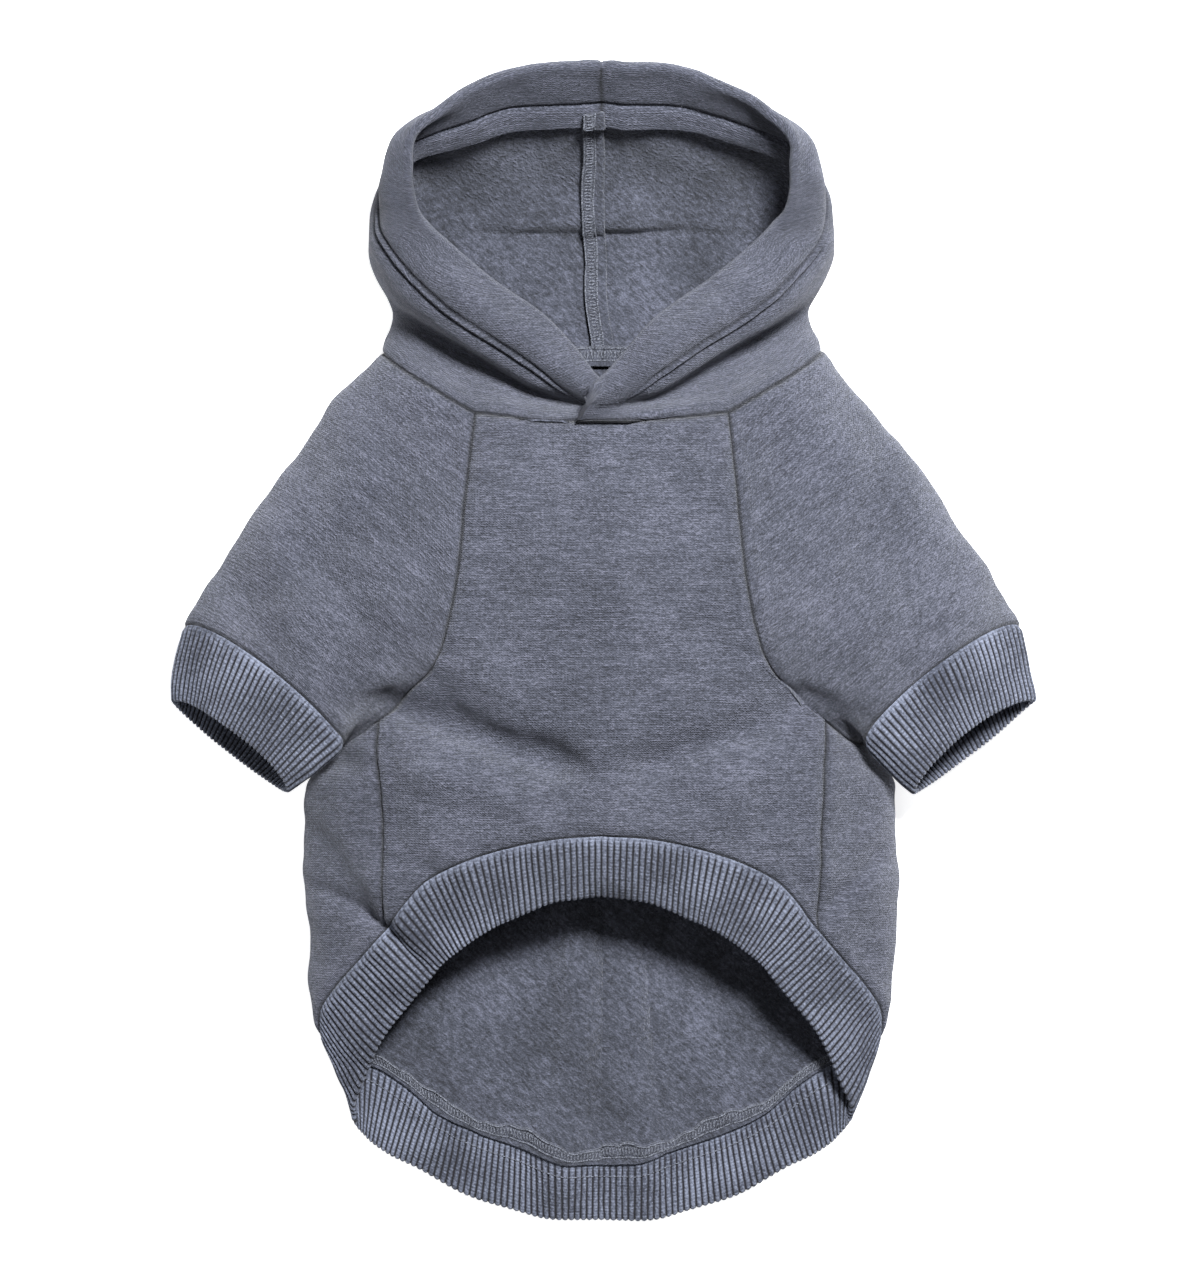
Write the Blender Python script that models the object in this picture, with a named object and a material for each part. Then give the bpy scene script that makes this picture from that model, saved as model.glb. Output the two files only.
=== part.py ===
"""Dog hoodie lying on its back, belly side up, with the hood opened towards the viewer.

X runs across the garment and Y along it: the hood is at +Y and the back hem at -Y.
Z is up from the surface that the back panel lies on. The origin is under the middle.
Lengths are millimetres and become metres where the meshes are made.
Each cloth piece is a shell around a middle surface. Neighbours share their seam points,
and each stops half a seam gap short of the seam.
"""
import math

import bpy
import numpy as np

METRES = 0.001

# Driving sizes of the garment
BACK_LENGTH = 359.0
HOOD_LENGTH = 126.0
BODY_HALF_WIDTH = 124.0
BODY_LOFT = 55.0
HOOD_HALF_WIDTH = 94.5
HOOD_RISE = 62.0
NECK_DROP = 22.0
NECK_HALF_WIDTH = 90.0
SLEEVE_REACH = 180.5
SLEEVE_DROP = 184.0
CUFF_LENGTH = 28.0
RIB_BAND_WIDTH = 26.0
FLEECE_WALL = 2.4
RIB_WALL = 3.0
HOOD_HEM_WIDTH = 24.0
ALLOWANCE_WIDTH = 8.0
HEM_ALLOWANCE_WIDTH = 5.0
SEAM_GAP = 0.3
UNDER_RADIUS = 9.0
NECK_SAG = 4.0
SIDE_SEAM_FOOT_X = 91.0

# Places that follow from the driving sizes
NECK_Y = (BACK_LENGTH - HOOD_LENGTH) / 2
FLOOR_Z = FLEECE_WALL / 2
HALF_WALL = FLEECE_WALL / 2
UNDER_ROUND_SHARE = 0.2
CROWN_POWER = 1.15
FAR_BELOW = -1000.0

# Rounds that settle the foot of the side seam, and the turn that they start from
FOOT_ROUNDS = 30
FOOT_FIRST_TURN = 45.0

# Grid steps along each seam
NECK_FRONT_COUNT = 14
RAGLAN_FRONT_COUNT = 7
SIDE_SEAM_COUNT = 9
ARMHOLE_BACK_COUNT = 11
NECK_SLEEVE_COUNT = 9
NECK_BACK_COUNT = 10
SLEEVE_COUNT = 8
CUFF_COUNT = 3
HEM_BAND_COUNT = 3
HOOD_COUNT = 13
CROSSED_COUNT = 3
LIFTED_COUNT = 7

# Body sections: way down the back, half width, loft and height of the side fold,
# as shares of BACK_LENGTH, BODY_HALF_WIDTH, BODY_LOFT and BODY_LOFT
BODY_SECTIONS = (
    (-0.020, 0.730, 0.80, 0.17),
    (0.060, 0.765, 0.86, 0.17),
    (0.160, 0.830, 0.95, 0.17),
    (0.320, 0.885, 1.00, 0.18),
    (0.439, 0.905, 0.98, 0.18),
    (0.462, 0.930, 0.97, 0.18),
    (0.495, 0.995, 0.95, 0.18),
    (0.530, 1.000, 0.93, 0.18),
    (0.624, 0.995, 0.86, 0.17),
    (0.744, 0.975, 0.62, 0.16),
    (0.785, 0.945, 0.50, 0.15),
    (0.837, 0.885, 0.36, 0.14),
    (0.870, 0.860, 0.28, 0.13),
)

# Front raglan seam from the neck to the armpit: outward share of NECK_HALF_WIDTH,
# way down as a share of BACK_LENGTH, and the turn on the cuff's ring that it runs to
RAGLAN_FRONT = (
    (0.590, 0.056, 125.0),
    (0.637, 0.162, 104.0),
    (0.670, 0.245, 86.0),
    (0.726, 0.317, 68.0),
    (0.796, 0.357, 54.0),
    (0.903, 0.384, 42.0),
    (1.040, 0.417, 22.0),
    (1.164, 0.441, 0.0),
)

# Armhole under the body, from the armpit round the side fold to the back neck: turn
# round the section in degrees, way down as a share of BACK_LENGTH, turn on the cuff's ring
ARMHOLE_BACK = (
    (80.0, 0.440, 332.0),
    (92.0, 0.428, 303.0),
    (104.0, 0.395, 280.0),
    (114.0, 0.325, 264.0),
    (124.0, 0.230, 250.0),
    (133.0, 0.115, 238.0),
    (140.0, 0.000, 228.0),
)

# Neckline of the sleeve from the front raglan over the shoulder corner to the back:
# outward share of NECK_HALF_WIDTH, way down as a share of NECK_DROP, height as a share
# of BODY_LOFT, turn on the cuff's ring
NECK_SLEEVE = (
    (0.726, 0.590, 0.650, 134.0),
    (0.866, 0.245, 0.530, 146.0),
    (0.987, -0.100, 0.345, 160.0),
    (1.020, -0.250, 0.200, 176.0),
    (0.978, -0.290, 0.075, 194.0),
    (0.800, -0.140, 0.022, 212.0),
)

# Hem seam round the garment: turn round the section in degrees, way down as a share
# of BACK_LENGTH
HEM_SEAM = (
    (0.0, 0.550),
    (8.0, 0.553),
    (20.0, 0.567),
    (36.0, 0.602),
    (47.5, 0.660),
    (55.0, 0.691),
    (65.0, 0.723),
    (72.0, 0.742),
    (82.0, 0.764),
    (90.0, 0.785),
    (102.0, 0.805),
    (113.0, 0.824),
    (120.0, 0.845),
    (128.0, 0.876),
    (142.0, 0.902),
    (159.0, 0.923),
    (170.0, 0.938),
    (180.0, 0.938),
)

# Free edge of the rib band, opposite the same turns of the hem seam: outward share of
# BODY_HALF_WIDTH, way past the seam as a share of RIB_BAND_WIDTH, height as a share of
# BODY_LOFT
HEM_EDGE = (
    (0.0, 0.000, 0.967, 0.720),
    (8.0, 0.130, 0.967, 0.715),
    (20.0, 0.310, 1.105, 0.690),
    (36.0, 0.472, 1.049, 0.630),
    (47.5, 0.580, 0.718, 0.570),
    (55.0, 0.655, 0.732, 0.500),
    (65.0, 0.737, 0.787, 0.400),
    (72.0, 0.777, 0.884, 0.320),
    (82.0, 0.818, 1.036, 0.220),
    (90.0, 0.852, 1.146, 0.130),
    (102.0, 0.845, 1.091, 0.040),
    (113.0, 0.798, 1.105, 0.022),
    (120.0, 0.733, 1.049, 0.022),
    (128.0, 0.625, 0.870, 0.022),
    (142.0, 0.445, 0.980, 0.022),
    (159.0, 0.236, 0.994, 0.022),
    (170.0, 0.107, 0.856, 0.022),
    (180.0, 0.000, 0.856, 0.022),
)

# Hood from its front end over the cheek, the shoulder corner and the temple to the brow.
# Each row is the same station on four lines. Outward is a share of HOOD_HALF_WIDTH,
# forward of the back neck a share of HOOD_LENGTH, and height a share of HOOD_RISE
HOOD_VALLEY = (
    (-0.082, -0.155, 0.750),
    (0.241, -0.099, 0.680),
    (0.590, 0.046, 0.565),
    (0.811, 0.146, 0.390),
    (0.909, 0.172, 0.226),
    (0.882, 0.218, 0.030),
    (0.648, 0.268, 0.026),
    (0.400, 0.330, 0.026),
    (0.200, 0.345, 0.026),
    (0.000, 0.350, 0.026),
)
HOOD_BULGE = (
    (-0.065, -0.135, 0.775),
    (0.267, -0.056, 0.760),
    (0.626, 0.096, 0.690),
    (0.855, 0.205, 0.580),
    (1.000, 0.324, 0.387),
    (1.019, 0.384, 0.190),
    (0.957, 0.520, 0.190),
    (0.740, 0.610, 0.190),
    (0.380, 0.600, 0.200),
    (0.000, 0.599, 0.210),
)
HOOD_CREST = (
    (-0.045, -0.115, 0.800),
    (0.272, 0.030, 0.870),
    (0.608, 0.198, 0.840),
    (0.802, 0.311, 0.770),
    (0.944, 0.417, 0.690),
    (0.979, 0.496, 0.645),
    (0.962, 0.615, 0.700),
    (0.860, 0.760, 0.700),
    (0.450, 0.845, 0.720),
    (0.000, 0.863, 0.740),
)
HOOD_RIM = (
    (-0.025, -0.090, 0.825),
    (0.232, 0.129, 0.820),
    (0.511, 0.281, 0.810),
    (0.670, 0.380, 0.790),
    (0.776, 0.453, 0.780),
    (0.842, 0.516, 0.810),
    (0.860, 0.640, 0.870),
    (0.815, 0.795, 0.935),
    (0.440, 0.958, 0.985),
    (0.000, 0.995, 1.000),
)
HOOD_STATION_FRONT = 2.0
HOOD_STATION_BACK = 6.0
HOOD_STATION_BROW = 9.0

# Cuff seam as a tilted ring. Its inner and outer ends: outward share of SLEEVE_REACH,
# way down as a share of SLEEVE_DROP, height as a share of BODY_LOFT
CUFF_INNER_END = (0.613, 0.870, 0.590)
CUFF_OUTER_END = (0.975, 0.596, 0.170)
CUFF_HALF_HEIGHT = 0.235
CUFF_BOW = 0.300
CUFF_LIP_BOW = 0.240
CUFF_NARROWING = 0.75
CUFF_LIP_LIFT_KEPT = 0.4
CUFF_UNDER_BOW = 0.3
CUFF_AXIS = (0.46, -0.87, -0.14)
SLEEVE_BULGE = 0.08
UNDERARM_TUCK = 0.08

# Points that the hem band and the hood go round, for telling the cloth's outer face
HEM_HEART_DOWN = 0.85
HEM_HEART_HEIGHT = 0.22
HOOD_HEART_FORWARD = 0.60

# The crossing at the throat: how the upper hood half's lift fades along its first
# columns and grows from the seam to the rim, and the cloth that isn't doubled there
CROSSING_WALLS = 4
CROSSING_GAPS = 3
CROSSING_FADE = 0.1
CROSSING_LEAD = 0.8
CROSSING_SEAM_SHARE = 0.5
CROSSING_RISE_RATE = 2.5
CROSSING_SHIFT = 0.48
SINGLE_AT_THROAT = 8.0

# Where the seam allowances stop: rows below the hood's rim and columns round the hem
CENTRE_STRIP_FIRST = 1
CENTRE_STRIP_SHORT = 4
HEM_STRIP_FIRST = 6

# Soft folds pressed into the top of the body: start and end across and down,
# shares of BODY_HALF_WIDTH and BACK_LENGTH, width in shares of BODY_HALF_WIDTH,
# depth in shares of BODY_LOFT
CHEST_FOLDS = (
    (-0.72, 0.385, -0.20, 0.455, 0.085, 0.085),
    (0.70, 0.375, 0.24, 0.455, 0.080, 0.050),
)
BACK_RIDGES = (
    (-0.14, 0.930, -0.06, 0.600, 0.110, 0.090),
    (0.34, 0.920, 0.27, 0.620, 0.110, 0.090),
)

# The hood's tuck, a low ledge across its floor
TUCK_FORWARD = 0.455
TUCK_LENGTH = 0.300
TUCK_DROP_LENGTH = 0.060
TUCK_HALF_WIDTH = 0.72
TUCK_HEIGHT = 0.13

JERSEY = ("grey melange jersey", (0.145, 0.162, 0.192), 0.9)
RIB = ("slate rib knit", (0.165, 0.190, 0.245), 0.85)
SEAM = ("light overlock seam", (0.260, 0.275, 0.300), 0.8)


def smooth_step(value):
    """Ease from 0 to 1 while value goes from 0 to 1."""
    value = min(max(value, 0.0), 1.0)
    return value * value * (3 - 2 * value)


def spline(rows, place):
    """Point at a row number, fractions allowed, on a smooth curve through table rows."""
    rows = np.asarray(rows, dtype=float)
    place = min(max(place, 0.0), len(rows) - 1.0)
    index = min(int(place), len(rows) - 2)
    share = place - index
    before = rows[index - 1] if index > 0 else 2 * rows[0] - rows[1]
    after = rows[index + 2] if index + 2 < len(rows) else 2 * rows[-1] - rows[-2]
    start, end = rows[index], rows[index + 1]
    leave = (end - before) / 2
    arrive = (after - start) / 2
    s2, s3 = share * share, share ** 3
    return ((2 * s3 - 3 * s2 + 1) * start + (s3 - 2 * s2 + share) * leave
            + (3 * s2 - 2 * s3) * end + (s3 - s2) * arrive)


def table_value(rows, key):
    """Columns after the first, smoothly read where the first column equals key."""
    keys = [row[0] for row in rows]
    key = min(max(key, keys[0]), keys[-1])
    index = 0
    while index < len(keys) - 2 and key > keys[index + 1]:
        index += 1
    values = np.array([row[1:] for row in rows], dtype=float)
    span = keys[index + 1] - keys[index]
    share = (key - keys[index]) / span

    def slope(at):
        if at == 0 or at == len(keys) - 1:
            near = 1 if at == 0 else at - 1
            return (values[near] - values[at]) / (keys[near] - keys[at])
        left = (values[at] - values[at - 1]) / (keys[at] - keys[at - 1])
        right = (values[at + 1] - values[at]) / (keys[at + 1] - keys[at])
        return np.where(left * right > 0, 2 * left * right / (left + right + 1e-12), 0.0)

    s2, s3 = share * share, share ** 3
    return ((2 * s3 - 3 * s2 + 1) * values[index]
            + (s3 - 2 * s2 + share) * span * slope(index)
            + (3 * s2 - 2 * s3) * values[index + 1]
            + (s3 - s2) * span * slope(index + 1))


def body_section(y):
    """Half width, loft and side fold height of the body at y."""
    width, loft, fold = table_value(BODY_SECTIONS, (NECK_Y - y) / BACK_LENGTH)
    return width * BODY_HALF_WIDTH, loft * BODY_LOFT, fold * BODY_LOFT


def relief(rows, x, y):
    """Summed height of soft straight folds at a place seen from above."""
    total = 0.0
    for x0, down0, x1, down1, width, height in rows:
        start = np.array((x0 * BODY_HALF_WIDTH, NECK_Y - down0 * BACK_LENGTH))
        end = np.array((x1 * BODY_HALF_WIDTH, NECK_Y - down1 * BACK_LENGTH))
        along = end - start
        length = np.linalg.norm(along)
        offset = np.array((x, y)) - start
        run = float(offset @ along) / length
        side = (offset[0] * along[1] - offset[1] * along[0]) / length
        past = max(-run, run - length, 0.0)
        reach = width * BODY_HALF_WIDTH
        total += height * BODY_LOFT * math.exp(-(side / reach) ** 2 - (past / (2 * reach)) ** 2)
    return total


def body_point(turn, y):
    """Point of the body's middle surface. Turn is 0 at the front and 180 at the back."""
    half_width, loft, fold = body_section(y)
    side = -1.0 if turn < 0 else 1.0
    turn = abs(turn)
    if turn <= 90:
        angle = math.radians(turn)
        x = half_width * math.sin(angle)
        z = fold + (loft - fold) * max(math.cos(angle), 0.0) ** CROWN_POWER
        z -= relief(CHEST_FOLDS, side * x, y) * math.cos(angle)
        return np.array((side * x, y, z))
    share = (turn - 90) / 90
    if share < UNDER_ROUND_SHARE:
        angle = math.radians(90 * share / UNDER_ROUND_SHARE)
        x = half_width - UNDER_RADIUS * (1 - math.cos(angle))
        return np.array((side * x, y, fold - (fold - FLOOR_Z) * math.sin(angle)))
    x = (half_width - UNDER_RADIUS) * (1 - share) / (1 - UNDER_ROUND_SHARE)
    return np.array((side * x, y, FLOOR_Z + relief(BACK_RIDGES, side * x, y)))


def turn_at(x, y):
    """Turn of the point on top of the body that lies x from the middle at y."""
    half_width = body_section(y)[0]
    return math.degrees(math.asin(min(max(x / half_width, -1.0), 1.0)))


def hem_y(turn):
    """Y of the hem seam at a turn round the section."""
    return NECK_Y - table_value(HEM_SEAM, abs(turn))[0] * BACK_LENGTH


def top_point(x, y):
    """Point on top of the body, seen from above at x and y."""
    return body_point(turn_at(x, y), y)


def raglan_front():
    """Left front raglan seam from the neck to the side seam, with its cuff turns."""
    last = len(RAGLAN_FRONT) - 2
    points, turns = [], []
    for step in range(RAGLAN_FRONT_COUNT + 1):
        out, down, ring = spline(RAGLAN_FRONT, last * step / RAGLAN_FRONT_COUNT)
        points.append(top_point(-out * NECK_HALF_WIDTH, NECK_Y - down * BACK_LENGTH))
        turns.append(ring)
    return np.array(points), turns


def armhole_back():
    """Left armhole from the side seam round below to the back neck: turn, y and ring."""
    rows = []
    for out, down, ring in RAGLAN_FRONT[-2:]:
        y = NECK_Y - down * BACK_LENGTH
        rows.append((abs(turn_at(out * NECK_HALF_WIDTH, y)), down, ring + 360.0))
    rows += ARMHOLE_BACK
    last = len(rows) - 1
    places = [last * step / ARMHOLE_BACK_COUNT for step in range(ARMHOLE_BACK_COUNT + 1)]
    samples = np.array([spline(rows, place) for place in places])
    return samples[:, 0], NECK_Y - samples[:, 1] * BACK_LENGTH, samples[:, 2]


def neck_sleeve(start, end):
    """Left neckline of the sleeve from the front raglan to the back, with cuff turns."""
    rows = [(*start, RAGLAN_FRONT[0][2])]
    for out, down, height, ring in NECK_SLEEVE:
        rows.append((-out * NECK_HALF_WIDTH, NECK_Y - down * NECK_DROP,
                     max(height * BODY_LOFT, FLOOR_Z), ring))
    rows.append((*end, ARMHOLE_BACK[-1][2]))
    last = len(rows) - 1
    samples = np.array([spline(rows, last * step / NECK_SLEEVE_COUNT)
                        for step in range(NECK_SLEEVE_COUNT + 1)])
    samples[:, 2] = np.maximum(samples[:, 2], FLOOR_Z)
    return samples[:, :3], list(samples[:, 3])


def neck_front():
    """Neck seam of the front panel from the left raglan to the right one."""
    out, down = RAGLAN_FRONT[0][:2]
    half = out * NECK_HALF_WIDTH
    points = []
    for step in range(NECK_FRONT_COUNT + 1):
        share = 2 * step / NECK_FRONT_COUNT - 1
        y = NECK_Y - down * BACK_LENGTH - NECK_SAG * (1 - share * share)
        points.append(top_point(share * half, y))
    return np.array(points)


def hem_foot():
    """Turn and y where the side seam meets the hem seam."""
    turn = FOOT_FIRST_TURN
    for _ in range(FOOT_ROUNDS):
        turn = turn_at(SIDE_SEAM_FOOT_X, hem_y(turn))
    return turn, hem_y(turn)


def side_seam(start):
    """Left side seam from the raglan seam straight down to the hem seam."""
    foot_y = hem_foot()[1]
    points = []
    for step in range(SIDE_SEAM_COUNT + 1):
        share = step / SIDE_SEAM_COUNT
        x = start[0] + (-SIDE_SEAM_FOOT_X - start[0]) * share
        points.append(top_point(x, start[1] + (foot_y - start[1]) * share))
    return np.array(points)


def mirrored(points):
    """The same points on the other side of the garment."""
    return points * np.array((-1.0, 1.0, 1.0))


def front_grid(top, left):
    """Front panel as a patch between its seams, laid on the body's surface."""
    columns, rows = len(top), len(left)
    foot_turn = hem_foot()[0]
    bottom = []
    for column in range(columns):
        turn = foot_turn * (2 * column / (columns - 1) - 1)
        bottom.append(body_point(turn, hem_y(turn)))
    bottom = np.array(bottom)
    right = mirrored(left)
    grid = np.zeros((columns, rows, 3))
    for i in range(columns):
        u = i / (columns - 1)
        for j in range(rows):
            v = j / (rows - 1)
            flat = ((1 - v) * top[i] + v * bottom[i] + (1 - u) * left[j] + u * right[j]
                    - (1 - u) * (1 - v) * top[0] - u * (1 - v) * top[-1]
                    - (1 - u) * v * bottom[0] - u * v * bottom[-1])
            grid[i, j] = top_point(flat[0], flat[1])
    grid[:, 0], grid[:, -1] = top, bottom
    grid[0], grid[-1] = left, right
    return grid


def back_turns(turns):
    """Turns of the back panel's columns at its top and at the hem, left half."""
    half = NECK_BACK_COUNT // 2
    top = list(turns)
    for step in range(1, half + 1):
        top.append(turns[-1] + (180 - turns[-1]) * step / half)
    foot_turn = hem_foot()[0]
    low = [foot_turn + (turn - top[0]) / (180 - top[0]) * (180 - foot_turn) for turn in top]
    return top, low


def back_grid(side, turns, ys):
    """Back panel from the left side seam round below to the right side seam."""
    top_turns, low_turns = back_turns(turns)
    top_ys = list(ys) + [NECK_Y] * (len(top_turns) - len(ys))
    half = []
    for column, (turn, low_turn) in enumerate(zip(top_turns, low_turns)):
        top_y = top_ys[column]
        low_y = hem_y(low_turn)
        line = []
        for step in range(SIDE_SEAM_COUNT + 1):
            v = step / SIDE_SEAM_COUNT
            y = top_y + (low_y - top_y) * v
            line.append(body_point(-(turn + (low_turn - turn) * v), y))
        half.append(side if column == 0 else np.array(line))
    half = np.array(half)
    return np.concatenate([half, mirrored(half[-2::-1])])


def cuff_ring(turn, past, narrowing, bow):
    """Point of the left cuff's ring. Turn is 0 inside, 90 on top and 180 outside."""
    ends = []
    for out, down, height in (CUFF_INNER_END, CUFF_OUTER_END):
        ends.append(np.array((-out * SLEEVE_REACH, NECK_Y - down * SLEEVE_DROP,
                              height * BODY_LOFT)))
    half = (ends[0] - ends[1]) / 2
    across = np.array((-half[1], half[0], 0.0))
    across /= np.linalg.norm(across)
    axis = np.array((-CUFF_AXIS[0], CUFF_AXIS[1], CUFF_AXIS[2]))
    centre = (ends[0] + ends[1]) / 2 + axis / np.linalg.norm(axis) * CUFF_LENGTH * past
    angle = math.radians(turn)
    lift = math.sin(angle)
    point = centre + half * narrowing * math.cos(angle)
    point[2] += CUFF_HALF_HEIGHT * BODY_LOFT * lift * (
        CUFF_LIP_LIFT_KEPT + (1 - CUFF_LIP_LIFT_KEPT) * narrowing)
    point += across * bow * CUFF_LENGTH * (lift if lift > 0 else CUFF_UNDER_BOW * lift)
    point[2] = max(point[2], FLOOR_Z)
    return point


def sleeve_grid(base, turns):
    """Left sleeve from its armhole and neckline to the cuff seam."""
    ring = np.array([cuff_ring(turn, 0.0, 1.0, CUFF_BOW) for turn in turns])
    base_centre, ring_centre = base.mean(axis=0), ring.mean(axis=0)
    grid = np.zeros((len(base), SLEEVE_COUNT + 1, 3))
    for i, turn in enumerate(turns):
        away = (1 - math.cos(math.radians(turn))) / 2
        for j in range(SLEEVE_COUNT + 1):
            v = j / SLEEVE_COUNT
            point = base[i] * (1 - v) + ring[i] * v
            centre = base_centre * (1 - v) + ring_centre * v
            swell = SLEEVE_BULGE * away - UNDERARM_TUCK * (1 - away) ** 2
            point = point + (point - centre) * swell * 4 * v * (1 - v)
            point[2] = max(point[2], FLOOR_Z)
            grid[i, j] = point
    return grid


def cuff_grid(turns):
    """Left cuff from its seam to its lip."""
    grid = np.zeros((len(turns), CUFF_COUNT + 1, 3))
    for i, turn in enumerate(turns):
        for j in range(CUFF_COUNT + 1):
            v = j / CUFF_COUNT
            narrowing = 1 + (CUFF_NARROWING - 1) * v
            bow = CUFF_BOW + (CUFF_LIP_BOW - CUFF_BOW) * v
            grid[i, j] = cuff_ring(turn, v, narrowing, bow)
    return grid


def hem_grid(seam, turns):
    """Rib band from the hem seam to its free edge, once round the garment."""
    grid = np.zeros((len(seam), HEM_BAND_COUNT + 1, 3))
    for i, turn in enumerate(turns):
        out, past, height = table_value(HEM_EDGE, abs(turn))
        side = -1.0 if turn < 0 else 1.0
        edge = np.array((side * out * BODY_HALF_WIDTH,
                         hem_y(turn) - past * RIB_BAND_WIDTH,
                         max(height * BODY_LOFT, FLOOR_Z)))
        for j in range(HEM_BAND_COUNT + 1):
            v = j / HEM_BAND_COUNT
            grid[i, j] = seam[i] * (1 - v) + edge * v
    return grid


def hood_tuck(x, y):
    """Height of the ledge across the hood's floor."""
    forward = (y - NECK_Y) / HOOD_LENGTH
    rise = smooth_step((forward - TUCK_FORWARD + TUCK_LENGTH) / TUCK_LENGTH)
    fall = smooth_step((forward - TUCK_FORWARD) / TUCK_DROP_LENGTH)
    across = abs(x) / (TUCK_HALF_WIDTH * HOOD_HALF_WIDTH)
    return TUCK_HEIGHT * HOOD_RISE * rise * (1 - fall) * (1 - smooth_step(across))


def hood_line(rows, station):
    """Point of one of the hood's four lines at a station, on the left side."""
    out, forward, height = spline(rows, station)
    return np.array((-out * HOOD_HALF_WIDTH, NECK_Y + forward * HOOD_LENGTH,
                     max(height * HOOD_RISE, FLOOR_Z)))


def hood_grid(ring):
    """Left hood half from the neck seam over its roll to the folded rim."""
    front = NECK_FRONT_COUNT // 2 + 1
    back = front + NECK_SLEEVE_COUNT
    stations = []
    for column in range(len(ring)):
        if column <= front:
            station = HOOD_STATION_FRONT * column / front
        elif column <= back:
            station = HOOD_STATION_FRONT + (HOOD_STATION_BACK - HOOD_STATION_FRONT) * (
                column - front) / (back - front)
        else:
            station = HOOD_STATION_BACK + (HOOD_STATION_BROW - HOOD_STATION_BACK) * (
                column - back) / (len(ring) - 1 - back)
        stations.append(station)
    grid = np.zeros((len(ring), HOOD_COUNT + 1, 3))
    for i, station in enumerate(stations):
        lines = [ring[i]] + [hood_line(rows, station)
                             for rows in (HOOD_VALLEY, HOOD_BULGE, HOOD_CREST, HOOD_RIM)]
        flat = smooth_step(station - HOOD_STATION_BACK + 1)
        for j in range(HOOD_COUNT + 1):
            point = spline(lines, 4 * j / HOOD_COUNT)
            point[2] = max(point[2], FLOOR_Z) + flat * hood_tuck(point[0], point[1])
            grid[i, j] = point
    grid[-1, :, 0] = 0.0
    return grid


class Panel:
    """One piece of cloth as a grid of points on its middle surface."""

    def __init__(self, name, grid, heart, finish, sewn, wall=FLEECE_WALL, closed=False):
        """Keep the grid, the edges that are sewn and a point that the cloth goes round."""
        self.name = name
        self.grid = grid
        self.heart = np.array(heart)
        self.finish = finish
        self.sewn = sewn
        self.closed = closed
        self.outer = np.full(grid.shape[:2], HALF_WALL)
        self.inner = np.full(grid.shape[:2], wall - HALF_WALL)
        if "low" in sewn:
            self.inner[:, 0] = HALF_WALL
        self.normals = np.zeros(grid.shape)

    def cells(self):
        """Corner indices of every grid cell."""
        columns, rows = self.grid.shape[:2]
        for i in range(columns if self.closed else columns - 1):
            for j in range(rows - 1):
                after = (i + 1) % columns
                yield (i, j), (after, j), (after, j + 1), (i, j + 1)

    def cell_normals(self):
        """Area-weighted normal of each cell, pointing away from the heart."""
        found = []
        outward = 0.0
        for cell in self.cells():
            a, b, c, d = (self.grid[index] for index in cell)
            normal = np.cross(c - a, d - b) / 2
            outward += float(normal @ ((a + b + c + d) / 4 - self.heart))
            found.append((cell, normal))
        self.flipped = outward < 0
        sign = -1.0 if self.flipped else 1.0
        return [(cell, sign * normal) for cell, normal in found]


def place_key(point):
    """Key that seam points at one place share."""
    return tuple(round(float(value), 2) + 0.0 for value in point)


def share_normals(panels):
    """Give panels that meet at a seam the same normals there."""
    shared = {}
    for panel in panels:
        for cell, normal in panel.cell_normals():
            for index in cell:
                key = place_key(panel.grid[index])
                shared[key] = shared.get(key, np.zeros(3)) + normal
    for panel in panels:
        for index in np.ndindex(panel.grid.shape[:2]):
            normal = shared[place_key(panel.grid[index])]
            panel.normals[index] = normal / np.linalg.norm(normal)


def seam_inset(panel):
    """Middle surface drawn back from each sewn edge by half the seam gap."""
    grid, normals = panel.grid, panel.normals
    columns, rows = grid.shape[:2]
    moved = grid.copy()
    steps = {"start": (0, 1, 0), "end": (columns - 1, columns - 2, 0),
             "low": (0, 1, 1), "high": (rows - 1, rows - 2, 1)}
    for edge in panel.sewn:
        at, inside, axis = steps[edge]
        count = rows if axis == 0 else columns
        for k in range(count):
            if panel.closed:
                before, after = (k - 1) % count, (k + 1) % count
            else:
                before, after = max(k - 1, 0), min(k + 1, count - 1)

            def pick(line, place):
                return (line, place) if axis == 0 else (place, line)

            here = pick(at, k)
            tangent = grid[pick(at, after)] - grid[pick(at, before)]
            tangent = tangent / np.linalg.norm(tangent)
            inward = grid[pick(inside, k)] - grid[here]
            inward -= (inward @ normals[here]) * normals[here]
            inward -= (inward @ tangent) * tangent
            moved[here] += inward / np.linalg.norm(inward) * SEAM_GAP / 2
    return moved


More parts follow.
